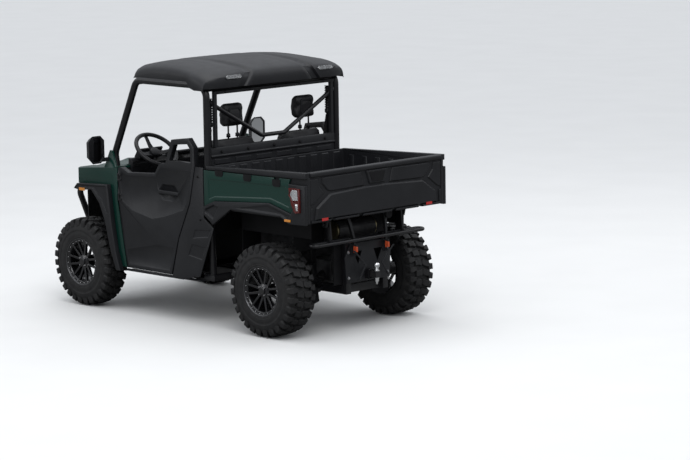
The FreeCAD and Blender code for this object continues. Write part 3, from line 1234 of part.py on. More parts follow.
# Head lamps
lamp_outline = [("fascia_flat_y - 50", "grille_low_z + 220"), ("fascia_flat_y - 50", "grille_low_z + 320"),
                ("fascia_flat_y - 10", "grille_low_z + 330"), ("fascia_flat_y - 4", "grille_low_z + 210")]
both_sides("front_lamps", plate("lamp_left", "YZ", lamp_outline, "nose_x + seat_gap",
                                "nose_x + lamp_thickness"))

# Front bar
bar_x = d.front_end_x - d.bar_radius
bar_left = [(shelf_x, d.rail_y, d.bar_low_z), (d.rail_front + 120, d.rail_y, d.bar_low_z),
            (bar_x, d.bar_knee_y, d.bar_knee_z), (bar_x, d.bar_bend_y, d.bar_top_z)]
bar_path = bar_left + [(x, -y, z) for x, y, z in reversed(bar_left)]
shaped("front_bar", tube_shape(bar_path, d.bar_radius, d.bar_bend))

# Bed tub: floor, front wall, side walls with ribs and rail, bores for the tailgate and the bed hinge
side_end = "rear_end_x + 10"
floor_slab = box("bed_floor", ("bed_rear_x", "-bed_y", "bed_floor_z"),
                 ("bed_front_x", "bed_y", "bed_floor_z + bed_floor_thickness"))
front_wall = box("bed_front_wall", ("bed_front_x - bed_wall", "-bed_y", "bed_floor_z"),
                 ("bed_front_x", "bed_y", "bed_top_front_z"))
side_wall = plate("bed_side_wall", "XZ", [("bed_front_x", "bed_floor_z"),
                                          ("bed_front_x", "bed_top_front_z"),
                                          (side_end, "bed_top_rear_z"), (side_end, "gate_low_z"),
                                          ("bed_rear_x", "gate_low_z"), ("bed_rear_x + 20", "bed_floor_z")],
                  "bed_in_y", "bed_y")
bed_rail = plate("bed_rail", "XZ", [("bed_front_x", "bed_top_front_z - 23"),
                                    ("bed_front_x", "bed_top_front_z"),
                                    (side_end, "bed_top_rear_z"), (side_end, "bed_top_rear_z - 44"),
                                    ("rear_end_x + 176", "bed_top_rear_z - 49")], "bed_y - weld",
                 "bed_y + rail_lip")
ribs = []
for i in range(int(d.rib_count)):
    x = "rib_front_x - %d*(rib_front_x - rib_rear_x)/(rib_count - 1)" % i
    ribs.append(box("rib_%d" % i, (x + " - rib_width", "bed_in_y - rib_depth",
                                   "bed_floor_z + bed_floor_thickness/2"),
                    (x, "bed_in_y + weld", "bed_top_front_z - 40")))
ear_outline = [("pivot_x - 22", "pivot_z - 22"), ("pivot_x + 22", "pivot_z - 22"),
               ("pivot_x + 46", "bed_floor_z + weld"),
               ("pivot_x - 46", "bed_floor_z + weld")]
bed_ear = plate("bed_ear", "XZ", ear_outline, "pivot_y", "pivot_y + pivot_plate")
gate_bore = rod("gate_bore", "y", "gate_pin + hinge_clearance", ("gate_pivot_x", "gate_y", "gate_pivot_z"),
                "bed_wall + 30")
ear_bore = rod("ear_bore", "y", "pivot_pin + hinge_clearance", ("pivot_x", "pivot_y - 10", "pivot_z"), "40")
bed_side = cut("bed_half", join("bed_half_raw", [side_wall, bed_rail, bed_ear] + ribs),
               [gate_bore, ear_bore])
join("bed_tub", [floor_slab, front_wall, bed_side, mirrored("bed_half_right", bed_side)])

# Coloured side panels of the bed, with three pockets in the top edge, over the lower flares
BED_SPAN = ("bed_front_x", "rear_end_x")
BED_RISE = ("gate_low_z", "bed_top_rear_z")
green_top = []
for start, end, z in ((0.11, 0.153, 0.782), (0.395, 0.4375, 0.788), (0.682, 0.725, 0.799)):
    green_top += [(start - 0.0065, z + 0.044), (start, z), (end, z + 0.005), (end + 0.0065, z + 0.048)]
seam = [(0.889, 0.4), (0.849, 0.174), (0.636, 0.334), (0.084, 0.228), (-0.028, 0.095)]
green = spread(*BED_SPAN, *BED_RISE, [(-0.028, 0.82)] + green_top + [(0.836, 0.845), (0.823, 0.755)] + seam)
bed_panel = plate("bed_panel_slab", "XZ", green, "bed_y + seat_gap", "bed_y + seat_gap + bed_skin")
panel_face = spread(*BED_SPAN, *BED_RISE, [(0.02, 0.66), (0.79, 0.7), (0.84, 0.42), (0.82, 0.29),
                                           (0.64, 0.42),
                                           (0.08, 0.31), (0.02, 0.24)])
panel_cut = plate("bed_panel_face", "XZ", panel_face, "bed_y + seat_gap + bed_skin - crease/2",
                  "bed_y + seat_gap + bed_skin", draft="draft")
both_sides("bed_sides", cut("bed_panel_left", bed_panel, [panel_cut]))

flare_rear = [(0.827, 0.755), (0.991, 0.75), (0.991, -0.019), (0.828, -0.027), (0.748, 0.09),
              (0.253, 0.103),
              (0.07, -0.253), (-0.028, -0.06)]
low_flare = spread(*BED_SPAN, *BED_RISE, [(x + (0.005 if z > 0.35 else 0), z - 0.003)
                                          for x, z in reversed(seam)]
                   + flare_rear)
FLARE_OUT = "bed_y + seat_gap + bed_flare"
scoop = spread(*BED_SPAN, *BED_RISE, [(-0.01, 0.045), (0.077, 0.15), (0.128, 0.115), (0.07, -0.14),
                                      (-0.01, -0.02)])
rear_face = spread(*BED_SPAN, *BED_RISE, [(0.3, 0.145), (0.62, 0.29), (0.84, 0.13), (0.82, 0.02),
                                          (0.75, 0.125)])
flare_slab = plate("bed_flare_slab", "XZ", low_flare, "bed_y + seat_gap", FLARE_OUT)
flare_cuts = [plate("flare_scoop", "XZ", scoop, FLARE_OUT + " - 2*crease", FLARE_OUT, draft="draft/2"),
              plate("flare_rear_face", "XZ", rear_face, FLARE_OUT + " - crease", FLARE_OUT, draft="draft")]
both_sides("bed_flares", cut("bed_flare_left", flare_slab, flare_cuts))

# Tail lamps: a hooked lens in a stepped frame
tail = spread(*BED_SPAN, *BED_RISE, [(0.841, 0.6875), (0.946, 0.6875), (0.946, 0.22), (0.893, 0.22),
                                     (0.865, 0.375)])
tail_lens = spread(*BED_SPAN, *BED_RISE, [(0.862, 0.62), (0.93, 0.62), (0.93, 0.27), (0.905, 0.27),
                                          (0.882, 0.4)])
tail_lamp = plate("tail_lamp_slab", "XZ", tail, FLARE_OUT + " + seat_gap", FLARE_OUT + " + lamp_thickness")
tail_cut = plate("tail_lens", "XZ", tail_lens, FLARE_OUT + " + lamp_thickness/2",
                 FLARE_OUT + " + lamp_thickness")
both_sides("tail_lamps", cut("tail_lamp_left", tail_lamp, [tail_cut]))

# Tailgate: slab with its raised chevrons, a handle recess and hinge pins
gate_slab = box("gate_slab", ("rear_end_x + gate_relief", "-gate_y", "gate_low_z"),
                ("gate_inner_x", "gate_y", "gate_top_z"))
GATE = ("0", "gate_y", "gate_low_z", "gate_top_z")
GATE_RIGHT = ("0", "-gate_y", "gate_low_z", "gate_top_z")
arrow = [(1, 0.868), (0.853, 0.842), (0.705, 0.565), (0.92, 0.304), (1, 0.082), (0.939, 0)]
band_left = spread(*GATE, [(1, 1)] + arrow)
band_right = spread(*GATE_RIGHT, [(1, 1)] + arrow)
recess = spread(*GATE, [(0.176, 0.905), (0.119, 0.62)])
recess += spread(*GATE_RIGHT, [(0.119, 0.62), (0.176, 0.905)])
gate_band = plate("gate_band", "YZ", band_left + band_right[::-1], "rear_end_x",
                  "rear_end_x + gate_relief + 1",
                  [recess])
gate_faces = []
for name, span in (("left", GATE), ("right", GATE_RIGHT)):
    outline = spread(*span, [(0.62, 0.565), (0.79, 0.3), (0.81, 0.12), (0.31, 0.12), (0.19, 0.4),
                             (0.23, 0.565)])
    gate_faces.append(plate("gate_face_" + name, "YZ", outline, "rear_end_x", "rear_end_x + crease",
                            draft="draft"))
    notch = spread(*span, [(0.07, -0.01), (0.43, -0.01), (0.41, 0.03), (0.09, 0.03)])
    gate_faces.append(plate("gate_notch_" + name, "YZ", notch, "rear_end_x - weld",
                            "rear_end_x + gate_relief"))
gate_pins = [rod("gate_pin_" + name, "y", "gate_pin", ("gate_pivot_x", place, "gate_pivot_z"), "30")
             for name, place in (("left", "gate_y - 12"), ("right", "-gate_y - 18"))]
join("tailgate", [gate_slab, cut("gate_front", gate_band, gate_faces)] + gate_pins)

# Rear frame plate with two recovery hooks, hitch and loop tube
RECEIVER_ROOM = "receiver/2 + 1"
plate_side = [("rear_plate_y - 15", "rear_plate_low_z"), ("rear_plate_y", "rear_plate_low_z + 188"),
              ("rear_plate_y - 55", "rear_plate_high_z")]
plate_outline = plate_side + [("-(%s)" % y, z) for y, z in reversed(plate_side)]
windows = []
for hand in ("", "-1*"):
    windows.append([(hand + "(rear_plate_y - 85)", "rear_plate_high_z - 60"),
                    (hand + "(rear_plate_y - 175)", "rear_plate_high_z - 60"),
                    (hand + "(rear_plate_y - 135)", "rear_plate_high_z - 160")])
windows.append([("-(%s)" % RECEIVER_ROOM, "hitch_z - (%s)" % RECEIVER_ROOM),
                (RECEIVER_ROOM, "hitch_z - (%s)" % RECEIVER_ROOM),
                (RECEIVER_ROOM, "hitch_z + " + RECEIVER_ROOM),
                ("-(%s)" % RECEIVER_ROOM, "hitch_z + " + RECEIVER_ROOM)])
rear_sheet = plate("rear_sheet", "YZ", plate_outline, "plate_x - rear_plate", "plate_x - seat_gap", windows)
hook_outline = [("plate_x - rear_plate + weld", "rear_plate_high_z - 12"),
                ("plate_x - rear_plate - hook_reach", "rear_plate_high_z - 2"),
                ("plate_x - rear_plate - hook_reach", "rear_plate_high_z - 26"),
                ("plate_x - rear_plate - 22", "rear_plate_high_z - 34"),
                ("plate_x - rear_plate - 22", "rear_plate_high_z - 60"),
                ("plate_x - rear_plate - hook_reach + 8", "rear_plate_high_z - 70"),
                ("plate_x - rear_plate - hook_reach + 8", "rear_plate_high_z - 86"),
                ("plate_x - rear_plate + weld", "rear_plate_high_z - 92")]
hooks = [plate("hook_" + name, "XZ", hook_outline, low, low + " + rear_plate")
         for name, low in (("left", "rear_plate_y - 78"), ("right", "-(rear_plate_y - 66)"))]
join("rear_plate", [rear_sheet] + hooks)
BORE = "receiver/2 - receiver_wall"
outer_tube = box("receiver_outer", ("receiver_end_x", "-receiver/2", "hitch_z - receiver/2"),
                 ("plate_x - seat_gap", "receiver/2", "hitch_z + receiver/2"))
inner_hole = box("receiver_hole", ("receiver_end_x - 10", "-(%s)" % BORE, "hitch_z - (%s)" % BORE),
                 ("plate_x - 11", BORE, "hitch_z + " + BORE))
shank_bar = box("hitch_shank", ("ball_x - shank", "-(%s)" % BORE, "hitch_z - shank/2"),
            ("plate_x - 13", BORE, "hitch_z + shank/2"))
post = rod("ball_post", "z", "ball_neck", ("ball_x", "0", "hitch_z + shank/2 - weld"),
           "ball_z - hitch_z - shank/2 + weld")
ball = doc.addObject("Part::Sphere", "ball")
ball.setExpression("Radius", bound("ball_radius"))
ball.setExpression("Placement.Base.x", bound("ball_x"))
ball.setExpression("Placement.Base.z", bound("ball_z"))
join("hitch", [cut("receiver_tube", outer_tube, [inner_hole]), shank_bar, post, ball])

loop_start = d.pivot_y - d.pivot_plate + d.seat_gap
loop_front_x = d.rail_rear - d.member / 2
loop_left = [(loop_front_x, loop_start, d.loop_z), (loop_front_x, d.loop_y, d.loop_z),
             (d.loop_x, d.loop_y, d.loop_z)]
loop_path = loop_left + [(x, -y, z) for x, y, z in reversed(loop_left)]
shaped("rear_loop", tube_shape(loop_path, d.loop_radius, d.loop_bend))

# Mirrors: drafted housing, hollow behind the glass, on a stalk from the quarter panel
MIRROR_BACK = "mirror_x - mirror_depth/2"
mirror_outline = chamfered("mirror_y", "mirror_z", "mirror_width", "mirror_height", "mirror_corner")
housing = plate("mirror_housing", "YZ", mirror_outline, MIRROR_BACK, "mirror_x + mirror_depth/2", draft="draft/2")
glass_room = plate("mirror_room", "YZ",
                   chamfered("mirror_y", "mirror_z", "mirror_width - 2*mirror_rim",
                             "mirror_height - 2*mirror_rim", 32),
                   MIRROR_BACK, MIRROR_BACK + " + crease")
stalk = box("mirror_stalk", ("mirror_x - 26", "side_y - weld + seat_gap", "mirror_z - 96"),
            ("mirror_x - 4", "mirror_y - mirror_width/2 + 24", "mirror_z - 68"))
both_sides("mirrors", join("mirror_left", [cut("mirror_shell", housing, [glass_room]), stalk]))

# Roof lamps in the rear face
oval = chamfered("roof_lamp_y", "roof_lamp_z", "roof_lamp_width", "roof_lamp_height", 11)
both_sides("roof_lamps", plate("roof_lamp_left", "YZ", oval, "roof_rear_x - lamp_thickness",
                               "roof_rear_x - seat_gap"))

NODES = ["frame", "engine", "muffler", "rear_plate", "hitch", "rear_loop", "suspension_arms", "shocks",
         "half_shafts",
         "rear_knuckles", "knuckle_left", "knuckle_right", "floor", "seat_cushions", "seat_backs", "dash",
         "steering_wheel", "cage_sides", "cage_cross", "rear_cab_panel", "roof", "roof_lamps", "mirrors",
         "side_panels", "quarter_panels", "front_flares", "front_fascia", "front_lamps", "front_bar",
         "hood",
         "door_left", "door_right", "bed_tub", "bed_sides", "bed_flares", "tail_lamps", "tailgate"]
NODES += ["%s_%s_%s" % (piece, axle, side) for piece in ("tyre", "rim") for axle in ("front", "rear")
          for side in ("left", "right")]

doc.recompute()
for item in doc.Objects:
    if "Invalid" in item.State or "Error" in item.State:
        raise SystemExit("failed object: %s %s" % (item.Label, item.State))
finished = {item.Label: item for item in doc.Objects}
for name in NODES:
    shape = finished[name].Shape
    if shape.isNull() or not shape.isValid() or not shape.Solids:
        raise SystemExit("bad shape: " + name)
    shape.exportStep("parts/" + name + ".step")
    print("%-20s solids %2d  volume %8.2f litres" % (name, len(shape.Solids), shape.Volume / 1e6))
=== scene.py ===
# %% [markdown]
# # A side by side utility vehicle, dressed for a studio picture
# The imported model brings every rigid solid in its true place, in metres: +X is forward, +Y is the
# driver's side and +Z is up. This lesson adds what a solid modeller leaves out: soft seats, tread,
# coil springs, lamps with depth, rounded edges and the finishes of plastic, paint, rubber and steel.

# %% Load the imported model
import bmesh
import bpy
import json
import math
from mathutils import Matrix, Vector
from mathutils.bvhtree import BVHTree


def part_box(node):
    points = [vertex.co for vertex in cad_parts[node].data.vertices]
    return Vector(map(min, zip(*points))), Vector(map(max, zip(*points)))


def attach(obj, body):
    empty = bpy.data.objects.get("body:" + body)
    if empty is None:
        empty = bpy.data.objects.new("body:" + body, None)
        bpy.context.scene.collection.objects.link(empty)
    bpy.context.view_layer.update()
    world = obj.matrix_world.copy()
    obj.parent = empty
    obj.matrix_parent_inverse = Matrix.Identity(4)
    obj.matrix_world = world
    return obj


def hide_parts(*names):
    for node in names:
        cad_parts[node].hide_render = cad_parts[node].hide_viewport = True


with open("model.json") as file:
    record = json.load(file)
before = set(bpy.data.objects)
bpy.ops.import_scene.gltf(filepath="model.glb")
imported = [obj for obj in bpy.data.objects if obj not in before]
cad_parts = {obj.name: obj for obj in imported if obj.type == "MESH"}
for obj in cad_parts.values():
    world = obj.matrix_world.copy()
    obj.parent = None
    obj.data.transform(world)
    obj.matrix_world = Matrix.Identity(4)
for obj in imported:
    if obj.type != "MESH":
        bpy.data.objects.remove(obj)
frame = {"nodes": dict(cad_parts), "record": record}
solids = frame["nodes"]
bodies = frame["record"]["behaviour"]["bodies"]
body_of_solid = {solid: body for body, members in bodies.items() for solid in members}
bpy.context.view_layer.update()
SIDES = (("left", 1), ("right", -1))

# %% [markdown]
# ## The camera
# The photograph was taken from behind and to the left, from about 20 m away with a long lens.
# A camera could be placed by eye, but here its place, its aim and its small roll were worked out
# from the wheels and the corners of the body, so the render can be laid over the photograph.

# %% Camera
IMAGE_WIDTH = 690
FOCAL_PIXELS = 2748.6
eye = Vector((-15.454, 13.981, 3.761))
target = Vector((-2.272, 1.088, 0.956))
roll = math.radians(-0.91)

ahead = (target - eye).normalized()
level_right = ahead.cross(Vector((0, 0, 1))).normalized()
level_up = level_right.cross(ahead)
right = math.cos(roll) * level_right + math.sin(roll) * level_up
up = -math.sin(roll) * level_right + math.cos(roll) * level_up

lens = bpy.data.cameras.new("photo_camera")
lens.sensor_width = 36
lens.lens = FOCAL_PIXELS / IMAGE_WIDTH * lens.sensor_width
lens.clip_end = 300
camera = bpy.data.objects.new("photo_camera", lens)
bpy.context.scene.collection.objects.link(camera)
turn = Matrix((right, up, -ahead)).transposed()
camera.matrix_world = Matrix.Translation(eye) @ turn.to_4x4()
bpy.context.scene.camera = camera
print("lens", round(lens.lens, 1), "mm, distance", round((target - eye).length, 2), "m")

# %% [markdown]
# ## Floor and light
# Dark plastic shows its shape only through what it mirrors, so the light comes from wide, soft
# panels. One key panel stands on the camera's side, a weaker one fills the far side and one hangs
# overhead. The world adds an even base, so the floor stays pale to the horizon. What shiny faces
# mirror is chosen with the Light Path node: a sky that is dim low down and bright overhead.

# %% Studio
def soft_panel(name, place, size, watts):
    panel = bpy.data.lights.new(name, "AREA")
    panel.shape = "RECTANGLE"
    panel.size, panel.size_y = size
    panel.energy = watts
    lamp = bpy.data.objects.new(name, panel)
    lamp.location = place
    lamp.rotation_euler = (Vector((0, 0, 0.8)) - Vector(place)).to_track_quat("-Z", "Y").to_euler()
    bpy.context.scene.collection.objects.link(lamp)
    return lamp


soft_panel("key_panel", (-5.5, 4.5, 7.5), (5, 4), 210)
soft_panel("fill_panel", (5.5, 6.5, 4.0), (4, 3), 60)
soft_panel("far_panel", (-3.0, -7.5, 5.0), (5, 3), 60)
soft_panel("top_panel", (0.0, 0.0, 7.5), (6, 4), 130)

world = bpy.data.worlds.new("studio_world")
world.use_nodes = True
bpy.context.scene.world = world
tree = world.node_tree
SKY_COLOUR = (0.92, 0.95, 1.0, 1)


def light_source(colour):
    source = tree.nodes.new("ShaderNodeBackground")
    source.inputs["Color"].default_value = colour
    return source


def brighten_upwards(source, height_low, height_high, dim, bright):
    """Strength that grows with the height that a ray points to."""
    rise = tree.nodes.new("ShaderNodeMapRange")
    span = {"From Min": height_low, "From Max": height_high, "To Min": dim, "To Max": bright}
    for socket_name, value in span.items():
        rise.inputs[socket_name].default_value = value
    tree.links.new(parts_of_way.outputs["Z"], rise.inputs["Value"])
    tree.links.new(rise.outputs["Result"], source.inputs["Strength"])


def choose(ray_kind, otherwise, chosen):
    """The second shader for rays of one kind, the first for all others."""
    choice = tree.nodes.new("ShaderNodeMixShader")
    tree.links.new(rays.outputs[ray_kind], choice.inputs["Fac"])
    tree.links.new(otherwise.outputs[0], choice.inputs[1])
    tree.links.new(chosen.outputs[0], choice.inputs[2])
    return choice


way_out = tree.nodes.new("ShaderNodeTexCoord")
parts_of_way = tree.nodes.new("ShaderNodeSeparateXYZ")
tree.links.new(way_out.outputs["Generated"], parts_of_way.inputs[0])
rays = tree.nodes.new("ShaderNodeLightPath")
base_light, mirrored_sky = light_source(SKY_COLOUR), light_source(SKY_COLOUR)
brighten_upwards(base_light, -0.1, 0.9, 0.3, 1.15)
brighten_upwards(mirrored_sky, 0.05, 0.7, 0.28, 1.1)
backdrop = light_source((0.86, 0.87, 0.88, 1))
for_mirrors = choose("Is Glossy Ray", base_light, mirrored_sky)
for_camera = choose("Is Camera Ray", for_mirrors, backdrop)
tree.links.new(for_camera.outputs[0], tree.nodes["World Output"].inputs["Surface"])
bpy.context.scene.view_settings.view_transform = "Standard"
print("panels", len(bpy.data.lights))

# %% [markdown]
# ## Finishes
# Each finish starts from the Principled shader. What is the same all over, such as the metal or
# coat value, is set on its own socket. What varies, such as colour or roughness, comes from noise
# in object coordinates. Those are metres here, so a noise scale of 900 gives a grain of 1 mm.

# %% Tools for the finishes
def new_finish(name, colour, rough, metal=0.0, gloss=0.5, tones=None, rough_span=None, grain=None, **more):
    """tones: noise, dark, light. rough_span: noise, low, high. grain: noise, height, strength."""
    finish = bpy.data.materials.new(name)
    finish.use_nodes = True
    finish.diffuse_color = (*colour, 1)
    sockets = finish.node_tree.nodes["Principled BSDF"].inputs
    sockets["Base Color"].default_value = (*colour, 1)
    values = {"Roughness": rough, "Metallic": metal, "Specular IOR Level": gloss}
    values.update((key.replace("_", " ").title(), value) for key, value in more.items())
    for socket_name, value in values.items():
        sockets[socket_name].default_value = value
    for vary, row in ((vary_colour, tones), (vary_rough, rough_span), (raise_grain, grain)):
        if row:
            vary(finish, noise_of(finish, *row[0]), *row[1:])
    return finish


def noise_of(finish, scale, detail=3.0, stretch=(1, 1, 1)):
    """Noise in metres, stretched along the axes if wished."""
    nodes, links = finish.node_tree.nodes, finish.node_tree.links
    place = nodes.new("ShaderNodeTexCoord")
    mapping = nodes.new("ShaderNodeMapping")
    mapping.inputs["Scale"].default_value = stretch
    noise = nodes.new("ShaderNodeTexNoise")
    noise.inputs["Scale"].default_value = scale
    noise.inputs["Detail"].default_value = detail
    links.new(place.outputs["Object"], mapping.inputs["Vector"])
    links.new(mapping.outputs["Vector"], noise.inputs["Vector"])
    return noise.outputs["Fac"]


def vary_colour(finish, value, dark, light):
    nodes, links = finish.node_tree.nodes, finish.node_tree.links
    ramp = nodes.new("ShaderNodeValToRGB")
    ramp.color_ramp.elements[0].position = 0.3
    ramp.color_ramp.elements[1].position = 0.7
    ramp.color_ramp.elements[0].color = (*dark, 1)
    ramp.color_ramp.elements[1].color = (*light, 1)
    links.new(value, ramp.inputs["Fac"])
    links.new(ramp.outputs["Color"], nodes["Principled BSDF"].inputs["Base Color"])


def vary_rough(finish, value, low, high):
    nodes, links = finish.node_tree.nodes, finish.node_tree.links
    span = nodes.new("ShaderNodeMapRange")
    span.inputs["To Min"].default_value = low
    span.inputs["To Max"].default_value = high
    links.new(value, span.inputs["Value"])
    links.new(span.outputs["Result"], nodes["Principled BSDF"].inputs["Roughness"])


def raise_grain(finish, value, height, strength=0.5):
    """Bump from a value; height is in metres."""
    nodes, links = finish.node_tree.nodes, finish.node_tree.links
    bump = nodes.new("ShaderNodeBump")
    bump.inputs["Strength"].default_value = strength
    bump.inputs["Distance"].default_value = height
    links.new(value, bump.inputs["Height"])
    links.new(bump.outputs["Normal"], nodes["Principled BSDF"].inputs["Normal"])


# %% Plastics and paint
moulded_black = new_finish("moulded_black", (0.010, 0.0105, 0.0125), 0.5, gloss=0.36,
                           tones=((6, 4), (0.0085, 0.009, 0.0108), (0.013, 0.0136, 0.016)),
                           rough_span=((14,), 0.4, 0.54), grain=((1100, 1), 0.0003, 0.35))

deep_black = new_finish("deep_black", (0.006, 0.006, 0.007), 0.7, gloss=0.25,
                        tones=((9,), (0.0045, 0.0045, 0.0055), (0.008, 0.008, 0.009)), grain=((500, 2), 0.0004, 0.4))

green_paint = new_finish("green_paint", (0.002, 0.030, 0.021), 0.42, gloss=0.22,
                         tones=((2600, 1), (0.0015, 0.024, 0.017), (0.003, 0.040, 0.029)), coat_weight=0.4,
                         coat_roughness=0.1, grain=((180, 1), 0.0002, 0.06))

tube_black = new_finish("tube_black", (0.008, 0.008, 0.0095), 0.36, gloss=0.45, rough_span=((20,), 0.28, 0.44),
                        grain=((420, 1), 0.0003, 0.2))
print("plastics and paint ready")

# %% Rubber, cloth and metal
tyre_rubber = new_finish("tyre_rubber", (0.011, 0.011, 0.012), 0.66, gloss=0.4,
                         tones=((24, 5), (0.008, 0.008, 0.009), (0.018, 0.0175, 0.0175)),
                         rough_span=((40,), 0.52, 0.78), grain=((300, 4), 0.0006, 0.4))

seat_vinyl = new_finish("seat_vinyl", (0.011, 0.011, 0.0125), 0.46, gloss=0.4)
leather = seat_vinyl.node_tree.nodes.new("ShaderNodeTexVoronoi")
leather.inputs["Scale"].default_value = 420
place = seat_vinyl.node_tree.nodes.new("ShaderNodeTexCoord")
seat_vinyl.node_tree.links.new(place.outputs["Object"], leather.inputs["Vector"])
vary_colour(seat_vinyl, noise_of(seat_vinyl, 8), (0.009, 0.009, 0.0105), (0.015, 0.015, 0.017))
raise_grain(seat_vinyl, leather.outputs["Distance"], 0.0006, 0.35)

webbing = new_finish("webbing", (0.009, 0.009, 0.010), 0.8, gloss=0.3,
                     tones=((60, 2), (0.007, 0.007, 0.008), (0.013, 0.013, 0.014)),
                     grain=((800, 2, (1, 1, 4)), 0.0005, 0.6))

alloy_black = new_finish("alloy_black", (0.007, 0.007, 0.0085), 0.26, 0.2, rough_span=((30,), 0.2, 0.36),
                         coat_weight=0.5)

chrome = new_finish("chrome", (0.78, 0.79, 0.8), 0.08, 1.0, rough_span=((50,), 0.05, 0.14))

cast_metal = new_finish("cast_metal", (0.05, 0.05, 0.053), 0.55, 0.5,
                        tones=((18, 4), (0.025, 0.025, 0.027), (0.075, 0.075, 0.08)), grain=((260, 3), 0.0006, 0.5))

dark_steel = new_finish("dark_steel", (0.022, 0.022, 0.025), 0.46, 0.4,
                        tones=((25, 3), (0.015, 0.015, 0.017), (0.035, 0.034, 0.034)),
                        grain=((350, 2), 0.0004, 0.35))

zinc = new_finish("zinc", (0.42, 0.42, 0.43), 0.32, 1.0, rough_span=((90,), 0.24, 0.45))

dull_lip = new_finish("dull_lip", (0.16, 0.16, 0.17), 0.34, 1.0, rough_span=((60,), 0.28, 0.42))

tinted_steel = new_finish("tinted_steel", (0.42, 0.36, 0.2), 0.34, 1.0,
                          tones=((12, 3), (0.22, 0.17, 0.08), (0.42, 0.38, 0.24)),
                          rough_span=((200, 2, (1, 8, 1)), 0.26, 0.46))
print("rubber, cloth and metal ready")

# %% Lenses
clear_lens = new_finish("clear_lens", (0.94, 0.95, 0.96), 0.06, transmission_weight=0.85,
                        grain=((260, 0, (1, 1, 0.05)), 0.0006, 0.5))

red_lens = new_finish("red_lens", (0.55, 0.012, 0.01), 0.12, coat_weight=1.0,
                      tones=((90,), (0.42, 0.008, 0.008), (0.62, 0.016, 0.012)))

dark_red = new_finish("dark_red", (0.10, 0.008, 0.006), 0.22, gloss=0.5)

amber_lens = new_finish("amber_lens", (0.75, 0.26, 0.02), 0.14, coat_weight=1.0,
                        tones=((90,), (0.62, 0.20, 0.012), (0.82, 0.32, 0.03)))

mirror_glass = new_finish("mirror_glass", (0.8, 0.82, 0.84), 0.03, 1.0, rough_span=((30,), 0.02, 0.05))

hook_red = new_finish("hook_red", (0.55, 0.08, 0.025), 0.4, tones=((80,), (0.48, 0.06, 0.02), (0.62, 0.10, 0.03)))

lamp_silver = new_finish("lamp_silver", (0.8, 0.81, 0.82), 0.18, 1.0, rough_span=((70,), 0.12, 0.24))

pale_floor = new_finish("pale_floor", (0.8, 0.8, 0.79), 0.8, gloss=0.2,
                        tones=((1.5, 2), (0.79, 0.79, 0.78), (0.81, 0.81, 0.80)))
floor_tree = pale_floor.node_tree
dim_floor = floor_tree.nodes.new("ShaderNodeBsdfDiffuse")
dim_floor.inputs["Color"].default_value = (0.24, 0.24, 0.235, 1)
floor_rays = floor_tree.nodes.new("ShaderNodeLightPath")
floor_choice = floor_tree.nodes.new("ShaderNodeMixShader")
floor_tree.links.new(floor_rays.outputs["Is Camera Ray"], floor_choice.inputs["Fac"])
floor_tree.links.new(dim_floor.outputs[0], floor_choice.inputs[1])
floor_tree.links.new(floor_tree.nodes["Principled BSDF"].outputs[0], floor_choice.inputs[2])
floor_tree.links.new(floor_choice.outputs[0], floor_tree.nodes["Material Output"].inputs["Surface"])
print("lenses and floor ready")

# %% [markdown]
# ## The floor
# The floor is one wide plain sheet that reaches past the horizon of the picture. It catches the
# vehicle's soft shadow, which tells the eye that the tyres stand on something. The camera sees it
# pale, but as a source of bounced light it is dim, like the ground in the photograph.

# %% Floor
floor_mesh = bpy.data.meshes.new("studio_floor")
reach = 120
floor_corners = [(x * reach, y * reach, 0) for x, y in ((-1, -1), (1, -1), (1, 1), (-1, 1))]
floor_mesh.from_pydata(floor_corners, [], [(0, 1, 2, 3)])
floor_mesh.materials.append(pale_floor)
studio_floor = bpy.data.objects.new("studio_floor", floor_mesh)
bpy.context.scene.collection.objects.link(studio_floor)
print("floor", 2 * reach, "m wide")

# %% [markdown]
# ## Rounded edges
# Moulded plastic and painted steel have no knife edges: each edge is rounded by a few millimetres
# and catches a thin line of light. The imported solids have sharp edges, and their meshes stay as
# they are. So each panel gets a copy: its triangles are merged back into flat faces, and a Bevel
# modifier rounds the edges between them. The copy then stands for the solid. New pieces are drawn as
# rings of corners with a skin of faces between the rings, and pass through the same helpers.

# %% Meshes, pieces and rounded edges
def add_piece(name, mesh, finish, body, stands_for=()):
    """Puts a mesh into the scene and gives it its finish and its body."""
    piece = bpy.data.objects.new(name, mesh)
    bpy.context.scene.collection.objects.link(piece)
    mesh.materials.clear()
    mesh.materials.append(finish)
    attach(piece, body)
    if stands_for:
        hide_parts(*stands_for)
    return piece


def skin(work, rings, closed=True, first=False, last=False):
    """Faces between neighbouring rings of corners; the end rings are filled where asked."""
    for near, far in zip(rings, rings[1:]):
        count = len(near)
        for k in range(count if closed else count - 1):
            n = (k + 1) % count
            work.faces.new((near[k], near[n], far[n], far[k]))
    if first:
        work.faces.new(rings[0][::-1])
    if last:
        work.faces.new(rings[-1])


def pulled_across(work, profile, low_y, high_y):
    """A side view of (x, z) corners pulled from low_y to high_y."""
    rings = [[work.verts.new((x, y, z)) for x, z in profile] for y in (low_y, high_y)]
    skin(work, rings, first=True, last=True)


def block_of(work, low, high, taper=(0.0, 0.0)):
    """A block whose outer face, towards -x, is smaller by the taper in y and z."""
    x0, y0, z0 = low
    x1, y1, z1 = high
    rings = []
    for x, dy, dz in ((x1, 0, 0), (x0, *taper)):
        corners = ((y0 + dy, z0 + dz), (y1 - dy, z0 + dz), (y1 - dy, z1 - dz), (y0 + dy, z1 - dz))
        rings.append([work.verts.new((x, y, z)) for y, z in corners])
    skin(work, rings, first=True, last=True)


def blocks_both_sides(work, low, high, taper=(0.0, 0.0)):
    """A block on the left, which low and high say, and its mirror image on the right."""
    for hand in (1, -1):
        near, far = sorted((hand * low[1], hand * high[1]))
        block_of(work, (low[0], near, low[2]), (high[0], far, high[2]), taper)


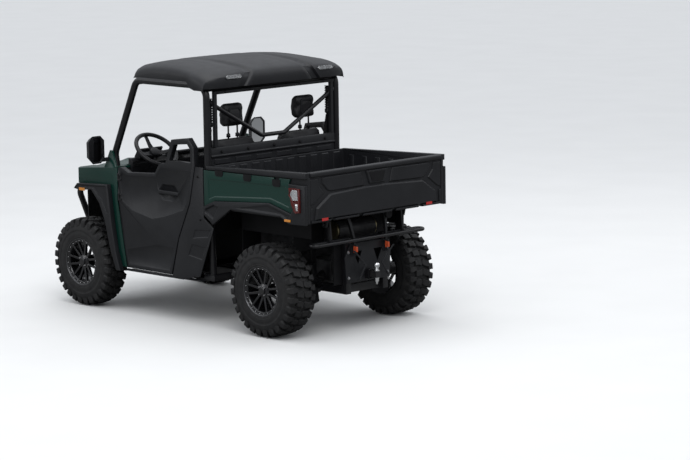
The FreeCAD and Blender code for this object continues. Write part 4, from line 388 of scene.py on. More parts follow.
def finish_work(work, name):
    """The faces of work as a mesh, with their normals turned outwards."""
    bmesh.ops.recalc_face_normals(work, faces=work.faces)
    mesh = bpy.data.meshes.new(name)
    work.to_mesh(mesh)
    work.free()
    return mesh


def smooth_faces(mesh):
    for face in mesh.polygons:
        face.use_smooth = True


def round_edges(piece, width, segments=2, angle=32, outer_only=False):
    """A bevel on the edges that turn by more than the angle, and smooth shading between them."""
    smooth_faces(piece.data)
    bevel = piece.modifiers.new("rounded", "BEVEL")
    bevel.width = width
    bevel.segments = segments
    bevel.limit_method = "ANGLE"
    bevel.angle_limit = math.radians(angle)
    bevel.use_clamp_overlap = False
    bevel.harden_normals = True
    if outer_only:
        # Only corners that stick out are rounded, so no edge is filled where a door closes or opens
        work = bmesh.new()
        work.from_mesh(piece.data)
        weight = work.edges.layers.float.new("bevel_weight_edge")
        for edge in work.edges:
            turned = len(edge.link_faces) == 2 and edge.is_convex
            edge[weight] = 1 if turned and edge.calc_face_angle() > math.radians(angle) else 0
        work.to_mesh(piece.data)
        work.free()
        bevel.limit_method = "WEIGHT"
    return piece


def solid_piece(name, work, finish, body, edge, segments=2, angle=32, stands_for=()):
    """A piece with rounded edges from work."""
    piece = add_piece(name, finish_work(work, name), finish, body, stands_for)
    return round_edges(piece, edge, segments, angle)


def smooth_piece(name, work, finish, body, stands_for=()):
    """A piece without edges from work, such as a tube."""
    piece = add_piece(name, finish_work(work, name), finish, body, stands_for)
    smooth_faces(piece.data)
    return piece


def clean_copy(solid):
    """The solid's mesh with its corners joined and its flat faces merged."""
    mesh = solids[solid].data.copy()
    work = bmesh.new()
    work.from_mesh(mesh)
    bmesh.ops.remove_doubles(work, verts=work.verts, dist=0.00002)
    bmesh.ops.dissolve_limit(work, angle_limit=math.radians(0.6), verts=work.verts, edges=work.edges)
    work.to_mesh(mesh)
    work.free()
    return mesh


# Finish, material slot, and for each solid the radius of its edges in metres
PANELS = [
    (green_paint, "green_panel", {"hood": 0.004, "quarter_panels": 0.002, "bed_sides": 0.0025}),
    (moulded_black, "moulded_black", {"door_left": 0.0025, "door_right": 0.0025, "side_panels": 0.0025,
                                      "front_flares": 0.004, "bed_flares": 0.004, "bed_tub": 0.004,
                                      "front_fascia": 0.003, "dash": 0.005}),
    (deep_black, "moulded_black", {"floor": 0.0015}), (moulded_black, "black_steel", {"rear_plate": 0.002}),
    (cast_metal, "engine_metal", {"engine": 0.008}), (tube_black, "black_steel", {"frame": 0.002}),
]
for finish, slot_name, edges in PANELS:
    for solid, edge in edges.items():
        copy = add_piece(solid + "_rounded", clean_copy(solid), finish, body_of_solid[solid], [solid])
        round_edges(copy, edge, outer_only=solid.startswith(("door_", "quarter_")))
print("panels with rounded edges", sum(len(edges) for finish, slot_name, edges in PANELS))

# %% [markdown]
# ## Mud tyres
# A mud tyre is a smooth carcass with tall rubber blocks: wide bars with a notch in the middle of the
# tread, and shoulder blocks between them that wrap over the edge. A displaced cylinder would smear
# the blocks, so each block is a small grid in tread coordinates, across and along, and is laid round
# the tyre at every pitch. The sidewall is a turned profile with fine rings.

# %% Tread coordinates and turned profiles
TYRE_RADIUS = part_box("tyre_rear_left")[1].z / 2
TREAD_PITCHES = 28
BLOCK_HEIGHT = 0.022
RIM_SEAT = 0.1775


def round_axle(radius, angle, y):
    return (radius * math.sin(angle), y, radius * math.cos(angle))


def turned_mesh(work, profile, sides):
    """Turns (y, r) corners about the Y axis; the profile is open, its ends stay open."""
    skin(work, [[work.verts.new(round_axle(r, math.tau * k / sides, y)) for k in range(sides)] for y, r in profile])


def lay_on_tread(across, along, height, turn):
    """A point of the tread: y across, arc length along, height over the axle, turned to its pitch."""
    return round_axle(height, along / TYRE_RADIUS + turn, across)


def tread_block(work, rows, turn, slope):
    """One block. rows: across, start and end along the tread, top height, foot height."""
    sides = []
    for across, start, end, top, foot in rows:
        grow = slope * (top - foot)
        sides.append([work.verts.new(lay_on_tread(across, start - grow, foot, turn)),
                      work.verts.new(lay_on_tread(across, start, top, turn)),
                      work.verts.new(lay_on_tread(across, end, top, turn)),
                      work.verts.new(lay_on_tread(across, end + grow, foot, turn))])
    for near, far in zip(sides, sides[1:]):
        for k in range(3):
            work.faces.new((near[k], far[k], far[k + 1], near[k + 1]))
    work.faces.new(sides[0])
    work.faces.new(sides[-1][::-1])


# %% One tyre
def tyre_mesh(name, width):
    half = width / 2
    base = TYRE_RADIUS - BLOCK_HEIGHT
    wall = [(half - 0.016, RIM_SEAT - 0.004), (half - 0.004, RIM_SEAT + 0.004), (half - 0.001, 0.196),
            (half - 0.003, 0.199), (half - 0.001, 0.202), (half, 0.228), (half - 0.0015, 0.232),
            (half - 0.0015, 0.246), (half, 0.25), (half - 0.003, 0.272), (half - 0.009, 0.292), (half - 0.022, 0.31),
            (half - 0.045, base - 0.002)]
    work = bmesh.new()
    turned_mesh(work, wall + [(0, base + 0.002)] + [(-y, r) for y, r in reversed(wall)], 120)
    pitch = math.tau / TREAD_PITCHES
    bar_half = half * 0.56
    for k in range(TREAD_PITCHES):
        for hand in (1, -1):
            # Half of a wide bar: it leans away from the middle, where a notch parts it from its twin
            lean = hand * (0.006 if k % 2 else 0.012)
            middle = [(hand * 0.002, -0.014, 0.010, TYRE_RADIUS - 0.007, base - 0.004),
                      (hand * 0.013, -0.026, 0.019, TYRE_RADIUS - 0.001, base - 0.004),
                      (hand * bar_half * 0.62, lean - 0.021, lean + 0.021, TYRE_RADIUS, base - 0.004),
                      (hand * bar_half, lean - 0.015, lean + 0.023, TYRE_RADIUS - 0.002, base - 0.004)]
            tread_block(work, middle[::hand], k * pitch, 0.28)
            # Shoulder block, half a pitch further on
            edge = [(hand * (bar_half - 0.006), -0.012, 0.012, TYRE_RADIUS - 0.004, base - 0.006),
                    (hand * (half - 0.024), -0.020, 0.021, TYRE_RADIUS - 0.005, base - 0.012),
                    (hand * (half - 0.007), -0.022, 0.023, TYRE_RADIUS - 0.016, base - 0.03),
                    (hand * (half - 0.001), -0.013, 0.014, 0.302 if k % 2 else 0.289, 0.28)]
            tread_block(work, edge[::hand], (k + 0.5) * pitch, 0.2)
    return finish_work(work, name)


def wheel_place(axle, side):
    """Centre of a tyre, its width, and a half turn for the right side."""
    low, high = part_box("tyre_%s_%s" % (axle, side))
    turn = Matrix() if side == "left" else Matrix.Rotation(math.pi, 4, "Z")
    return Matrix.Translation((low + high) / 2) @ turn, high.y - low.y


for axle in ("front", "rear"):
    for side in ("left", "right"):
        place, width = wheel_place(axle, side)
        solid = "tyre_%s_%s" % (axle, side)
        mesh = tyre_mesh(solid + "_dressed", width)
        mesh.transform(place)
        tyre = add_piece(solid + "_dressed", mesh, tyre_rubber, body_of_solid[solid], [solid])
        round_edges(tyre, 0.0018, 1, 24)
print("tyre blocks", TREAD_PITCHES * 4, "faces", len(mesh.polygons))

# %% [markdown]
# ## Alloy wheels
# The wheel has six pairs of spokes that spread in a V from the hub to the lip. The lip carries a
# ring of small screws, and its edge is bare metal. Each spoke is a tapered bar that falls back
# towards the hub, so it needs only eight corners and a bevel.

# %% One wheel
SPOKE_PAIRS = 6
RIM_INSET = 0.006
LIP_SCREWS = 24


def bar_between(work, near, far, near_size, far_size):
    """A tapered bar: ends as (x, y, z), sizes as (across, deep)."""
    near, far = Vector(near), Vector(far)
    run = (far - near).normalized()
    side = run.cross(Vector((0, 1, 0))).normalized()
    ends = []
    for end, (wide, deep) in ((near, near_size), (far, far_size)):
        ends.append([work.verts.new(end + side * (wide / 2 * a) + Vector((0, -deep * b, 0)))
                     for a, b in ((-1, 0), (1, 0), (0.72, 1), (-0.72, 1))])
    skin(work, ends, first=True, last=True)


def stud(work, place, radius, height, sides=6):
    """A short prism along Y, such as a screw head or a wheel nut."""
    x, y, z = place
    rings = []
    for depth, r in ((0, radius), (height * 0.8, radius), (height, radius * 0.8)):
        rings.append([work.verts.new((x + r * math.cos(angle), y + depth, z + r * math.sin(angle)))
                      for angle in (math.tau * k / sides for k in range(sides))])
    skin(work, rings, last=True)


def rim_mesh(name, face):
    work = bmesh.new()
    turned_mesh(work, [(face - 0.004, 0.1835), (face, 0.1815), (face, 0.1765), (face - 0.006, 0.1735),
                       (face - 0.008, 0.158), (face - 0.016, 0.152), (face - 0.05, 0.149), (-face + 0.03, 0.149),
                       (-face + 0.006, 0.166), (-face, 0.176), (-face, 0.183)], 96)
    turned_mesh(work, [(face - 0.018, 0.030), (face - 0.026, 0.050), (face - 0.030, 0.056), (face - 0.05, 0.058),
                       (face - 0.075, 0.058)], 48)
    for pair in range(SPOKE_PAIRS):
        for lean in (1, -1):
            middle = math.tau * pair / SPOKE_PAIRS
            near, far = middle + lean * 0.17, middle + lean * 0.3
            bar_between(work, round_axle(0.046, near, face - 0.026), round_axle(0.161, far, face - 0.009),
                        (0.02, 0.03), (0.014, 0.02))
    return finish_work(work, name)


def rim_details(name, face):
    """The nuts with the lip screws, and the centre cap."""
    bright = bmesh.new()
    for k in range(4):
        stud(bright, round_axle(0.038, math.tau * (k + 0.5) / 4, face - 0.026), 0.0075, 0.02)
    for k in range(LIP_SCREWS):
        stud(bright, round_axle(0.166, math.tau * (k + 0.5) / LIP_SCREWS, face - 0.008), 0.0036, 0.005)
    cap = bmesh.new()
    turned_mesh(cap, [(face - 0.022, 0.0305), (face - 0.008, 0.0295), (face - 0.004, 0.026), (face - 0.0035, 0.006),
                      (face - 0.0035, 0.0001)], 40)
    return finish_work(bright, name + "_nuts"), finish_work(cap, name + "_cap")


def lip_mesh(name, face):
    work = bmesh.new()
    turned_mesh(work, [(face - 0.0035, 0.1838), (face + 0.0012, 0.1815), (face + 0.0012, 0.179),
                       (face - 0.001, 0.1775)], 96)
    return finish_work(work, name)


for axle in ("front", "rear"):
    for side in ("left", "right"):
        place, width = wheel_place(axle, side)
        solid = "rim_%s_%s" % (axle, side)
        body = body_of_solid[solid]
        face = width / 2 - RIM_INSET
        mesh = rim_mesh(solid + "_dressed", face)
        nuts, cap = rim_details(solid, face)
        lip = lip_mesh(solid + "_lip", face)
        for made in (mesh, nuts, cap, lip):
            made.transform(place)
        round_edges(add_piece(solid + "_dressed", mesh, alloy_black, body, [solid]), 0.0022, 2, 30)
        add_piece(solid + "_nuts", nuts, zinc, body)
        round_edges(add_piece(solid + "_cap", cap, alloy_black, body), 0.0008, 1)
        round_edges(add_piece(solid + "_lip", lip, dull_lip, body), 0.0004, 1)
print("wheels", 4, "faces of the last", len(mesh.polygons))

# %% [markdown]
# ## Seats
# A seat is foam under a stretched cover: it crowns in the middle, pulls in at its seams and keeps
# its corners round. The recipe is to start from a slightly smaller block, remesh it into small
# even cells, let Blender's cloth blow it up a little from inside, and cap how far it may move.
# Welts and sewn channels come afterwards as thin piping that follows the swollen surface.

# %% Padding tools
def padded_slab(name, profile, low_y, high_y, bolster=0.0, way=Vector((1, 0, 0))):
    """A side view of (x, z) corners drawn across the vehicle. Corners marked 1 rise at the bolsters."""
    work = bmesh.new()
    centre = Vector((sum(p[0] for p in profile), 0, sum(p[1] for p in profile))) / len(profile)
    rings = []
    # Share of the width, how far the outline pulls in, how much of the bolster shows
    for share, pull, lift in ((0, 0.72, 0), (0.03, 0.92, 0.4), (0.1, 1, 1), (0.2, 1, 0.7), (0.28, 1, 0), (0.5, 1, 0),
                              (0.72, 1, 0), (0.8, 1, 0.7), (0.9, 1, 1), (0.97, 0.92, 0.4), (1, 0.72, 0)):
        ring = []
        for x, z, raised in profile:
            point = centre + (Vector((x, 0, z)) - centre) * pull + way * (bolster * lift * raised)
            point.y = low_y + (high_y - low_y) * share
            ring.append(work.verts.new(point))
        rings.append(ring)
    skin(work, rings, first=True, last=True)
    return finish_work(work, name)


def swell(piece, voxel, pressure, cap):
    """Remesh, blow up with cloth pressure, cap the movement, apply and subdivide once."""
    remesh = piece.modifiers.new("even_cells", "REMESH")
    remesh.mode = "VOXEL"
    remesh.voxel_size = voxel
    graph = bpy.context.evaluated_depsgraph_get()
    even = bpy.data.meshes.new_from_object(piece.evaluated_get(graph))
    piece.modifiers.clear()
    piece.data = even
    start = [v.co.copy() for v in even.vertices]
    cloth = piece.modifiers.new("padding", "CLOTH")
    cloth.settings.quality = 4
    cloth.settings.mass = 0.3
    cloth.settings.use_pressure = True
    cloth.settings.uniform_pressure_force = pressure
    cloth.settings.effector_weights.gravity = 0
    cloth.collision_settings.use_collision = False
    cloth.point_cache.frame_start = 1
    cloth.point_cache.frame_end = 20
    for step in range(1, 21):
        bpy.context.scene.frame_set(step)
    graph = bpy.context.evaluated_depsgraph_get()
    blown = piece.evaluated_get(graph).to_mesh()
    moved = [v.co.copy() for v in blown.vertices]
    piece.evaluated_get(graph).to_mesh_clear()
    piece.modifiers.clear()
    bpy.context.scene.frame_set(1)
    for vertex, before, after in zip(even.vertices, start, moved):
        move = after - before
        vertex.co = before + (move if move.length < cap else move.normalized() * cap)
    smooth_faces(even)
    settled = piece.modifiers.new("settled", "SMOOTH")
    settled.iterations = 5
    fine = piece.modifiers.new("fine", "SUBSURF")
    fine.levels = 1
    fine.render_levels = 1
    return piece


def sweep(work, points, radius, sides=8):
    """A tube along points. radius is one number or one for each point."""
    points = [Vector(p) for p in points]
    radii = radius if isinstance(radius, list) else [radius] * len(points)
    side = None
    rings = []
    for k, point in enumerate(points):
        run = (points[min(k + 1, len(points) - 1)] - points[max(k - 1, 0)]).normalized()
        if side is None:
            side = run.orthogonal().normalized()
        side = (side - run * side.dot(run)).normalized()
        over = run.cross(side)
        rings.append([work.verts.new(point + (side * math.cos(angle) + over * math.sin(angle)) * radii[k])
                      for angle in (math.tau * j / sides for j in range(sides))])
    skin(work, rings, first=True, last=True)


# %% Seat cushions, backs and headrests
cushion_low, cushion_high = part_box("seat_cushions")
SEAT_Y = 0.345
SEAT_HALF = 0.222
PRESSURE, SWELL_CAP = 4.0, 0.010
# The headrests stand a little to the right of the middle of their seats
HEAD_Y = {"left": 0.33, "right": -0.405}
POST_X, POST_OFFSETS = -0.318, (-0.045, 0.045)
seat_body = body_of_solid["seat_cushions"]
# Side views: x, z, and 1 where the corner rises at the bolsters
cushion_view = [(cushion_low.x + 0.02, cushion_low.z + 0.008, 0), (cushion_low.x + 0.05, cushion_high.z - 0.03, 1),
                (-0.04, cushion_high.z - 0.024, 1), (0.09, cushion_high.z - 0.014, 1),
                (0.142, cushion_high.z - 0.03, 0), (0.146, cushion_high.z - 0.07, 0),
                (0.10, cushion_low.z + 0.008, 0)]
back_view = [(-0.268, 0.712, 0), (-0.222, 0.80, 1), (-0.242, 1.0, 1), (-0.268, 1.2, 1), (-0.295, 1.345, 1),
             (-0.305, 1.382, 0), (-0.345, 1.382, 0), (-0.354, 1.2, 0), (-0.354, 0.9, 0), (-0.354, 0.712, 0)]
head_view = [(-0.340, 1.468, 0), (-0.300, 1.460, 0), (-0.272, 1.478, 0), (-0.262, 1.545, 0), (-0.276, 1.612, 0),
             (-0.300, 1.632, 0), (-0.328, 1.628, 0), (-0.340, 1.60, 0)]
padding = []
for side, hand in SIDES:
    y = hand * SEAT_Y
    head_y = HEAD_Y[side]
    jobs = [("seat_cushion_" + side, cushion_view, SEAT_HALF, 0.012, Vector((0, 0, 1)), ["seat_cushions"], 0.009),
            ("seat_back_" + side, back_view, SEAT_HALF, 0.02, Vector((1, 0, 0)), ["seat_backs"], 0.009),
            ("headrest_" + side, head_view, 0.096, 0.0, Vector((1, 0, 0)), ["seat_backs"], 0.006)]
    for name, view, half, bolster, way, solid_names, voxel in jobs:
        centre_y = head_y if view is head_view else y
        mesh = padded_slab(name, view, centre_y - half, centre_y + half, bolster, way)
        cushion = add_piece(name, mesh, seat_vinyl, seat_body, solid_names)
        swell(cushion, voxel, PRESSURE, SWELL_CAP)
        padding.append(cushion)
print("padded pieces", [(piece.name, len(piece.data.polygons)) for piece in padding])

# %% Seams, headrest posts and brackets
def on_surface(piece_tree, start, way):
    """Where a ray meets the piece, lifted by half a millimetre."""
    hit, normal = piece_tree.ray_cast(start, way)[:2]
    return hit + normal * 0.0005 if hit else None


for side, hand in SIDES:
    y = hand * SEAT_Y
    seams = bmesh.new()
    graph = bpy.context.evaluated_depsgraph_get()
    for name, along, look in (("seat_back_", [(0.2, 0.76 + 0.02 * k) for k in range(29)], Vector((-1, 0, 0))),
                              ("seat_cushion_", [(-0.2 + 0.02 * k, 1.2) for k in range(16)], Vector((0, 0, -1)))):
        tree_of = BVHTree.FromObject(bpy.data.objects[name + side], graph)
        for offset in (-0.115, 0.115):
            line = [on_surface(tree_of, Vector((x, y + offset, z)), look) for x, z in along]
            line = [point for point in line if point]
            sweep(seams, line, 0.0028, 6)
    smooth_piece("seat_seams_" + side, seams, seat_vinyl, seat_body)
    posts = bmesh.new()
    y = HEAD_Y[side]
    for offset in POST_OFFSETS:
        sweep(posts, [(POST_X, y + offset, z) for z in (1.36, 1.50)], 0.0065, 12)
    smooth_piece("headrest_posts_" + side, posts, dark_steel, seat_body)
    guides = bmesh.new()
    for offset in POST_OFFSETS:
        sweep(guides, [(POST_X, y + offset, z) for z in (1.380, 1.404, 1.408)], [0.016, 0.015, 0.011], 16)
    smooth_piece("headrest_guides_" + side, guides, moulded_black, seat_body)
    bracket = bmesh.new()
    outline = [(-0.05, -0.055), (0.05, -0.055), (0.062, -0.04), (0.062, 0.04), (0.05, 0.055), (-0.05, 0.055),
               (-0.062, 0.04), (-0.062, -0.04)]
    rings = [[bracket.verts.new((x, y + a * grow, 1.55 + b * grow)) for a, b in outline]
             for x, grow in ((-0.338, 1.0), (-0.352, 1.0), (-0.352, 0.74), (-0.343, 0.66))]
    skin(bracket, rings, last=True)
    solid_piece("headrest_bracket_" + side, bracket, moulded_black, seat_body, 0.0025, 2, 30)
print("seams and posts done")

# %% [markdown]
# ## Seat belts
# Each belt comes out of a folded rubber boot beside the rear upright and hangs down to an anchor
# beside the seat. The boot is a turned tube whose radius swings with every fold; the webbing is a
# thin ribbon with thickness, rounded edges and a little slack.

# %% Belts
def ribbon(work, points, width, thick, across):
    """A strap with a flat section along points."""
    rings = []
    for k, point in enumerate(points):
        run = (points[min(k + 1, len(points) - 1)] - points[max(k - 1, 0)]).normalized()
        side = (across - run * across.dot(run)).normalized()
        face = run.cross(side)
        corners = [(-1, -0.6), (-0.94, -1), (0.94, -1), (1, -0.6), (1, 0.6), (0.94, 1), (-0.94, 1), (-1, 0.6)]
        rings.append([work.verts.new(point + side * (a * width / 2) + face * (b * thick / 2)) for a, b in corners])
    skin(work, rings, first=True, last=True)


BELT_X, BELT_Y = -0.372, 0.606
for side, hand in SIDES:
    boot = bmesh.new()
    folds = [(BELT_X, hand * BELT_Y, 1.69 - 0.0045 * k) for k in range(41)]
    sweep(boot, folds, [0.0205 + 0.0045 * math.cos(math.tau * k / 4) for k in range(41)], 18)
    sweep(boot, [(BELT_X, hand * BELT_Y, z) for z in (1.512, 1.508, 1.486, 1.482, 1.478, 1.30, 1.296)],
          [0.020, 0.024, 0.024, 0.020, 0.0125, 0.0125, 0.008], 18)
    smooth_piece("belt_boot_" + side, boot, moulded_black, seat_body)
    strap = bmesh.new()
    hang = [Vector((BELT_X + 0.05 * math.sin(math.pi * k / 24), hand * (BELT_Y - 0.012 * k / 24), 1.468 - 0.03 * k))
            for k in range(25)]
    ribbon(strap, hang, 0.046, 0.0016, Vector((1, 0, 0)))
    smooth_piece("belt_webbing_" + side, strap, webbing, seat_body)
    clip = bmesh.new()
    bar_between(clip, (-0.35, hand * 0.603, 1.12), (-0.35, hand * 0.603, 1.06), (0.055, 0.006), (0.04, 0.006))
    solid_piece("belt_tongue_" + side, clip, zinc, seat_body, 0.001, 1)
print("belts 2")

# %% [markdown]
# ## Springs and dampers
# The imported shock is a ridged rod. A real one is a wire wound round a damper, with daylight between
# the turns, so it is drawn again: a helix for the wire, turned seats, a damper tube and its rod.

# %% Shocks
SHOCK_TURNS = 7
SPRING_RADIUS = 0.027
# Foot and head on the left side, front and rear
SHOCKS = (((1.063, 0.395, 0.280), (1.063, 0.324, 0.733)), ((-0.987, 0.345, 0.285), (-0.987, 0.324, 0.733)))
coils, dampers, rods = bmesh.new(), bmesh.new(), bmesh.new()
for foot, head in SHOCKS:
    for hand in (1, -1):
        low = Vector((foot[0], foot[1] * hand, foot[2]))
        high = Vector((head[0], head[1] * hand, head[2]))
        run = high - low

        def at(z):
            return low + run * ((z - low.z) / (high.z - low.z))

        way = run.normalized()
        side = Vector((1, 0, 0))
        over = way.cross(side)
        steps = SHOCK_TURNS * 24
        first, last = at(0.508), at(0.700)
        helix = []
        for k in range(steps + 1):
            share = k / steps
            angle = math.tau * SHOCK_TURNS * share
            rise_share = min(max((share - 0.06) / 0.88, 0), 1)
            round_way = side * math.cos(angle) + over * math.sin(angle)
            helix.append(first.lerp(last, 0.03 + 0.94 * rise_share) + round_way * SPRING_RADIUS)
        sweep(coils, helix, 0.0046, 8)
        sweep(dampers, [at(z) for z in (0.286, 0.30, 0.30, 0.495, 0.495, 0.500, 0.508, 0.508, 0.61, 0.61)],
              [0.013, 0.013, 0.0145, 0.0145, 0.031, 0.033, 0.031, 0.017, 0.017, 0.012], 20)
        sweep(dampers, [at(z) for z in (0.698, 0.698, 0.706, 0.712, 0.712, 0.732)],
              [0.012, 0.031, 0.031, 0.024, 0.014, 0.013], 20)
        sweep(rods, [at(0.60), at(0.70)], 0.008, 14)
        sweep(dampers, [high + side * -0.024, high + side * 0.024], 0.015, 16)
shock_body = body_of_solid["shocks"]
smooth_piece("spring_coils", coils, tube_black, shock_body, ["shocks"])
solid_piece("damper_tubes", dampers, dark_steel, shock_body, 0.0008, 1)
smooth_piece("damper_rods", rods, chrome, shock_body)
print("springs 4, turns", SHOCK_TURNS)

# %% [markdown]
# ## Tail lamps, markers and reflectors
# A lamp looks deep because a bright bowl stands behind a clear cover. Each tail lamp gets a red
# frame, two bright bowls and two clear covers; amber and red markers are small domed lenses.

# %% Lamp faces
def lens_plate(name, outline, place, deep, finish, body, bevel=0.0015):
    """A plate with a slightly smaller face: outline as (u, v), place(u, v, w) gives its spot."""
    count = len(outline)
    mid = (sum(u for u, v in outline) / count, sum(v for u, v in outline) / count)
    work = bmesh.new()
    rings = []
    for w, pull in ((0, 1), (deep * 0.75, 1), (deep, 0.93)):
        rings.append([work.verts.new(place(mid[0] + (u - mid[0]) * pull, mid[1] + (v - mid[1]) * pull, w))
                      for u, v in outline])
    skin(work, rings, first=True, last=True)
    return solid_piece(name, work, finish, body, bevel, 2, 25)


lamp_low, lamp_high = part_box("tail_lamps")
lamp_body = body_of_solid["tail_lamps"]
for side, hand in SIDES:
    def on_lamp(u, v, w):
        return Vector((lamp_high.x + (lamp_low.x - lamp_high.x) * u, hand * (lamp_high.y - 0.0015 + w),
                       lamp_low.z + (lamp_high.z - lamp_low.z) * v))

    upper = [(0.17, 0.74), (0.36, 0.93), (0.80, 0.93), (0.84, 0.52), (0.42, 0.50)]
    lower = [(0.60, 0.36), (0.84, 0.37), (0.84, 0.10), (0.68, 0.09)]
    for part, outline in (("upper", upper), ("lower", lower)):
        lens_plate("tail_bowl_%s_%s" % (part, side), outline, on_lamp, 0.0022, lamp_silver, lamp_body,
                   0.0006)
        wide = [(u + (u - 0.6) * 0.06, v + (v - 0.55) * 0.04) for u, v in outline]
        lens_plate("tail_cover_%s_%s" % (part, side), wide, on_lamp, 0.0042, clear_lens, lamp_body,
                   0.0012)
    rim_line = [on_lamp(u, v, 0.001) for u, v in ((0.04, 0.72), (0.27, 1.0), (0.97, 0.99), (0.98, 0.02),
                                                  (0.62, -0.02), (0.50, 0.34), (0.04, 0.72))]
    frame_rim = bmesh.new()
    sweep(frame_rim, rim_line, 0.0035, 8)
    smooth_piece("tail_rim_" + side, frame_rim, dark_red, lamp_body)

# Name, solid that carries it, its spot on the left, its size, axis that it faces, finish
MARKERS = [("rear_marker", "bed_flares", (-1.316, 0.7243, 0.886), (0.064, 0.018), "y", amber_lens),
           ("front_marker", "front_flares", (0.962, 0.7515, 0.921), (0.07, 0.022), "y", amber_lens),
           ("rear_reflector", "tailgate", (-1.5042, 0.535, 0.893), (0.062, 0.022), "x", red_lens)]
for name, solid, spot, (wide, tall), axis, finish in MARKERS:
    for side, hand in SIDES:
        def on_side(u, v, w):
            if axis == "y":
                return Vector((spot[0] + u, hand * (spot[1] + w), spot[2] + v))
            return Vector((spot[0] - w, hand * spot[1] + u, spot[2] + v))

        outline = [(-wide / 2, -tall / 2), (wide / 2, -tall / 2), (wide / 2, tall / 2), (-wide / 2, tall / 2)]
        lens_plate(name + "_" + side, outline, on_side, 0.005, finish, body_of_solid[solid], 0.0018)
print("markers", len(MARKERS) * 2)

# %% Headlamp bowls
BOWL_RADIUS = 0.021
for side, hand in SIDES:
    def on_front(u, v, w):
        return Vector((1.300 + w, hand * (0.250 + u), 0.910 + v))

    for number, middle in enumerate((0.030, -0.030), 1):
        bowl_line = [(BOWL_RADIUS * math.cos(angle), middle + BOWL_RADIUS * math.sin(angle))
                     for angle in (math.tau * k / 20 for k in range(20))]
        lens_plate("headlamp_bowl_%d_%s" % (number, side), bowl_line, on_front, 0.002, lamp_silver,
                   body_of_solid["front_lamps"], 0.0006)
print("headlamp bowls 4")

# %% [markdown]
# ## Hitch
# The receiver is a painted square tube with a collar. A dark bar carries the bright ball: a stepped
# neck, the ball with a small flat on top, and the hexagon nut with the thread's end below.

# %% Receiver and ball
BALL = Vector((-1.482, 0, 0.490))
RECEIVER_Z = 0.425
hitch_body = body_of_solid["hitch"]
tube_work = bmesh.new()
for outer, start, end in ((0.032, -1.3845, -1.440), (0.036, -1.428, -1.440)):
    rings = []
    for half, x in ((outer, start), (outer, end), (0.0262, end), (0.0262, start)):
        rings.append([tube_work.verts.new((x, a * half, RECEIVER_Z + b * half))
                      for a, b in ((-1, -1), (1, -1), (1, 1), (-1, 1))])
    skin(tube_work, rings + rings[:1])
solid_piece("receiver_tube", tube_work, tube_black, hitch_body, 0.0015, 2, stands_for=["hitch"])
mount = bmesh.new()
block_of(mount, (-1.500, -0.024, RECEIVER_Z - 0.024), (-1.39, 0.024, RECEIVER_Z + 0.024))
solid_piece("ball_bar", mount, dark_steel, hitch_body, 0.003, 2)
ball = bmesh.new()
heights = [(0.449, 0.021), (0.452, 0.022), (0.458, 0.022), (0.461, 0.0155), (0.466, 0.0150)]
for k in range(19):
    angle = math.radians(-52 + k * (52 + 76) / 18)
    heights.append((BALL.z + 0.025 * math.sin(angle), 0.025 * math.cos(angle)))
sweep(ball, [(BALL.x, 0, z) for z, r in heights], [r for z, r in heights], 40)
sweep(ball, [(BALL.x, 0, z) for z in (0.4015, 0.396, 0.3955, 0.372, 0.372)], [0.02, 0.02, 0.0165, 0.0165, 0.012], 6)
sweep(ball, [(BALL.x, 0, z) for z in (0.372, 0.356, 0.352)], [0.0095, 0.0095, 0.007], 16)
smooth_piece("hitch_ball", ball, chrome, hitch_body)
round_edges(bpy.data.objects["hitch_ball"], 0.0006, 1, 40)
print("ball at", tuple(BALL))

# %% [markdown]
# ## Mirrors
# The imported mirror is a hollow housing. The glass lies a few millimetres inside its rim, so the rim
# throws a thin shadow on it; a flat plate with a tiny bevel is all it needs.

# %% Mirror glass
def eight_corners(width, height, corner):
    """A rectangle round the origin with its corners cut."""
    w, h = width / 2, height / 2
    return [(-w + corner, -h), (w - corner, -h), (w, -h + corner), (w, h - corner), (w - corner, h), (-w + corner, h),
            (-w, h - corner), (-w, -h + corner)]


for side, hand in SIDES:
    def on_mirror(u, v, w):
        return Vector((0.6785 - w, hand * (0.833 + u), 1.253 + v))

    lens_plate("mirror_glass_" + side, eight_corners(0.131, 0.189, 0.032), on_mirror, 0.002, mirror_glass,
               body_of_solid["mirrors"], 0.0006)
print("mirror glasses 2")

# %% [markdown]
# ## Rear of the cab
# Behind the seats stands a moulded panel in two steps: an upper strip held by five bolts, a ledge,
# and a lower strip with raised pads. It is drawn as one profile pulled across the cab, with pads
# and bolts set on it. A flat bar closes the window below the roof, and a cover lines each upright.

# %% Rear cab panel
panel_low, panel_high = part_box("rear_cab_panel")
panel_body = body_of_solid["rear_cab_panel"]
panel = bmesh.new()
pulled_across(panel, [(-0.402, 1.192), (-0.408, 1.192), (-0.409, 1.252), (-0.419, 1.260), (-0.4195, 1.268),
                      (-0.414, 1.274), (-0.414, 1.318), (-0.410, 1.328), (-0.402, 1.332)], panel_low.y, panel_high.y)
for k in range(6):
    middle = -0.52 + 0.208 * k
    block_of(panel, (-0.4155, middle - 0.078, 1.202), (-0.408, middle + 0.078, 1.244), (0.006, 0.005))
solid_piece("rear_cab_panel_dressed", panel, moulded_black, panel_body, 0.002, 2, 25,
            stands_for=["rear_cab_panel"])
window_bar = bmesh.new()
block_of(window_bar, (-0.438, -0.612, 1.722), (-0.420, 0.612, 1.7515), (0.0, 0.004))
blocks_both_sides(window_bar, (-0.433, 0.578, 1.335), (-0.408, 0.612, 1.75), (0.004, 0.0))
solid_piece("window_surround", window_bar, moulded_black, panel_body, 0.003, 2, 25)
print("rear cab panel ready")

# %% [markdown]
# ## Roof
# The roof is one moulded shell. Rows follow its outline from the front edge over the crown and
# down the rear wall; columns go from side to side. Two grooves split it into a middle panel and
# two shoulders, and near the rear it widens over the bends of the cage.

# %% Roof shell
def ease(value):
    value = min(1, max(0, value))
    return value * value * (3 - 2 * value)


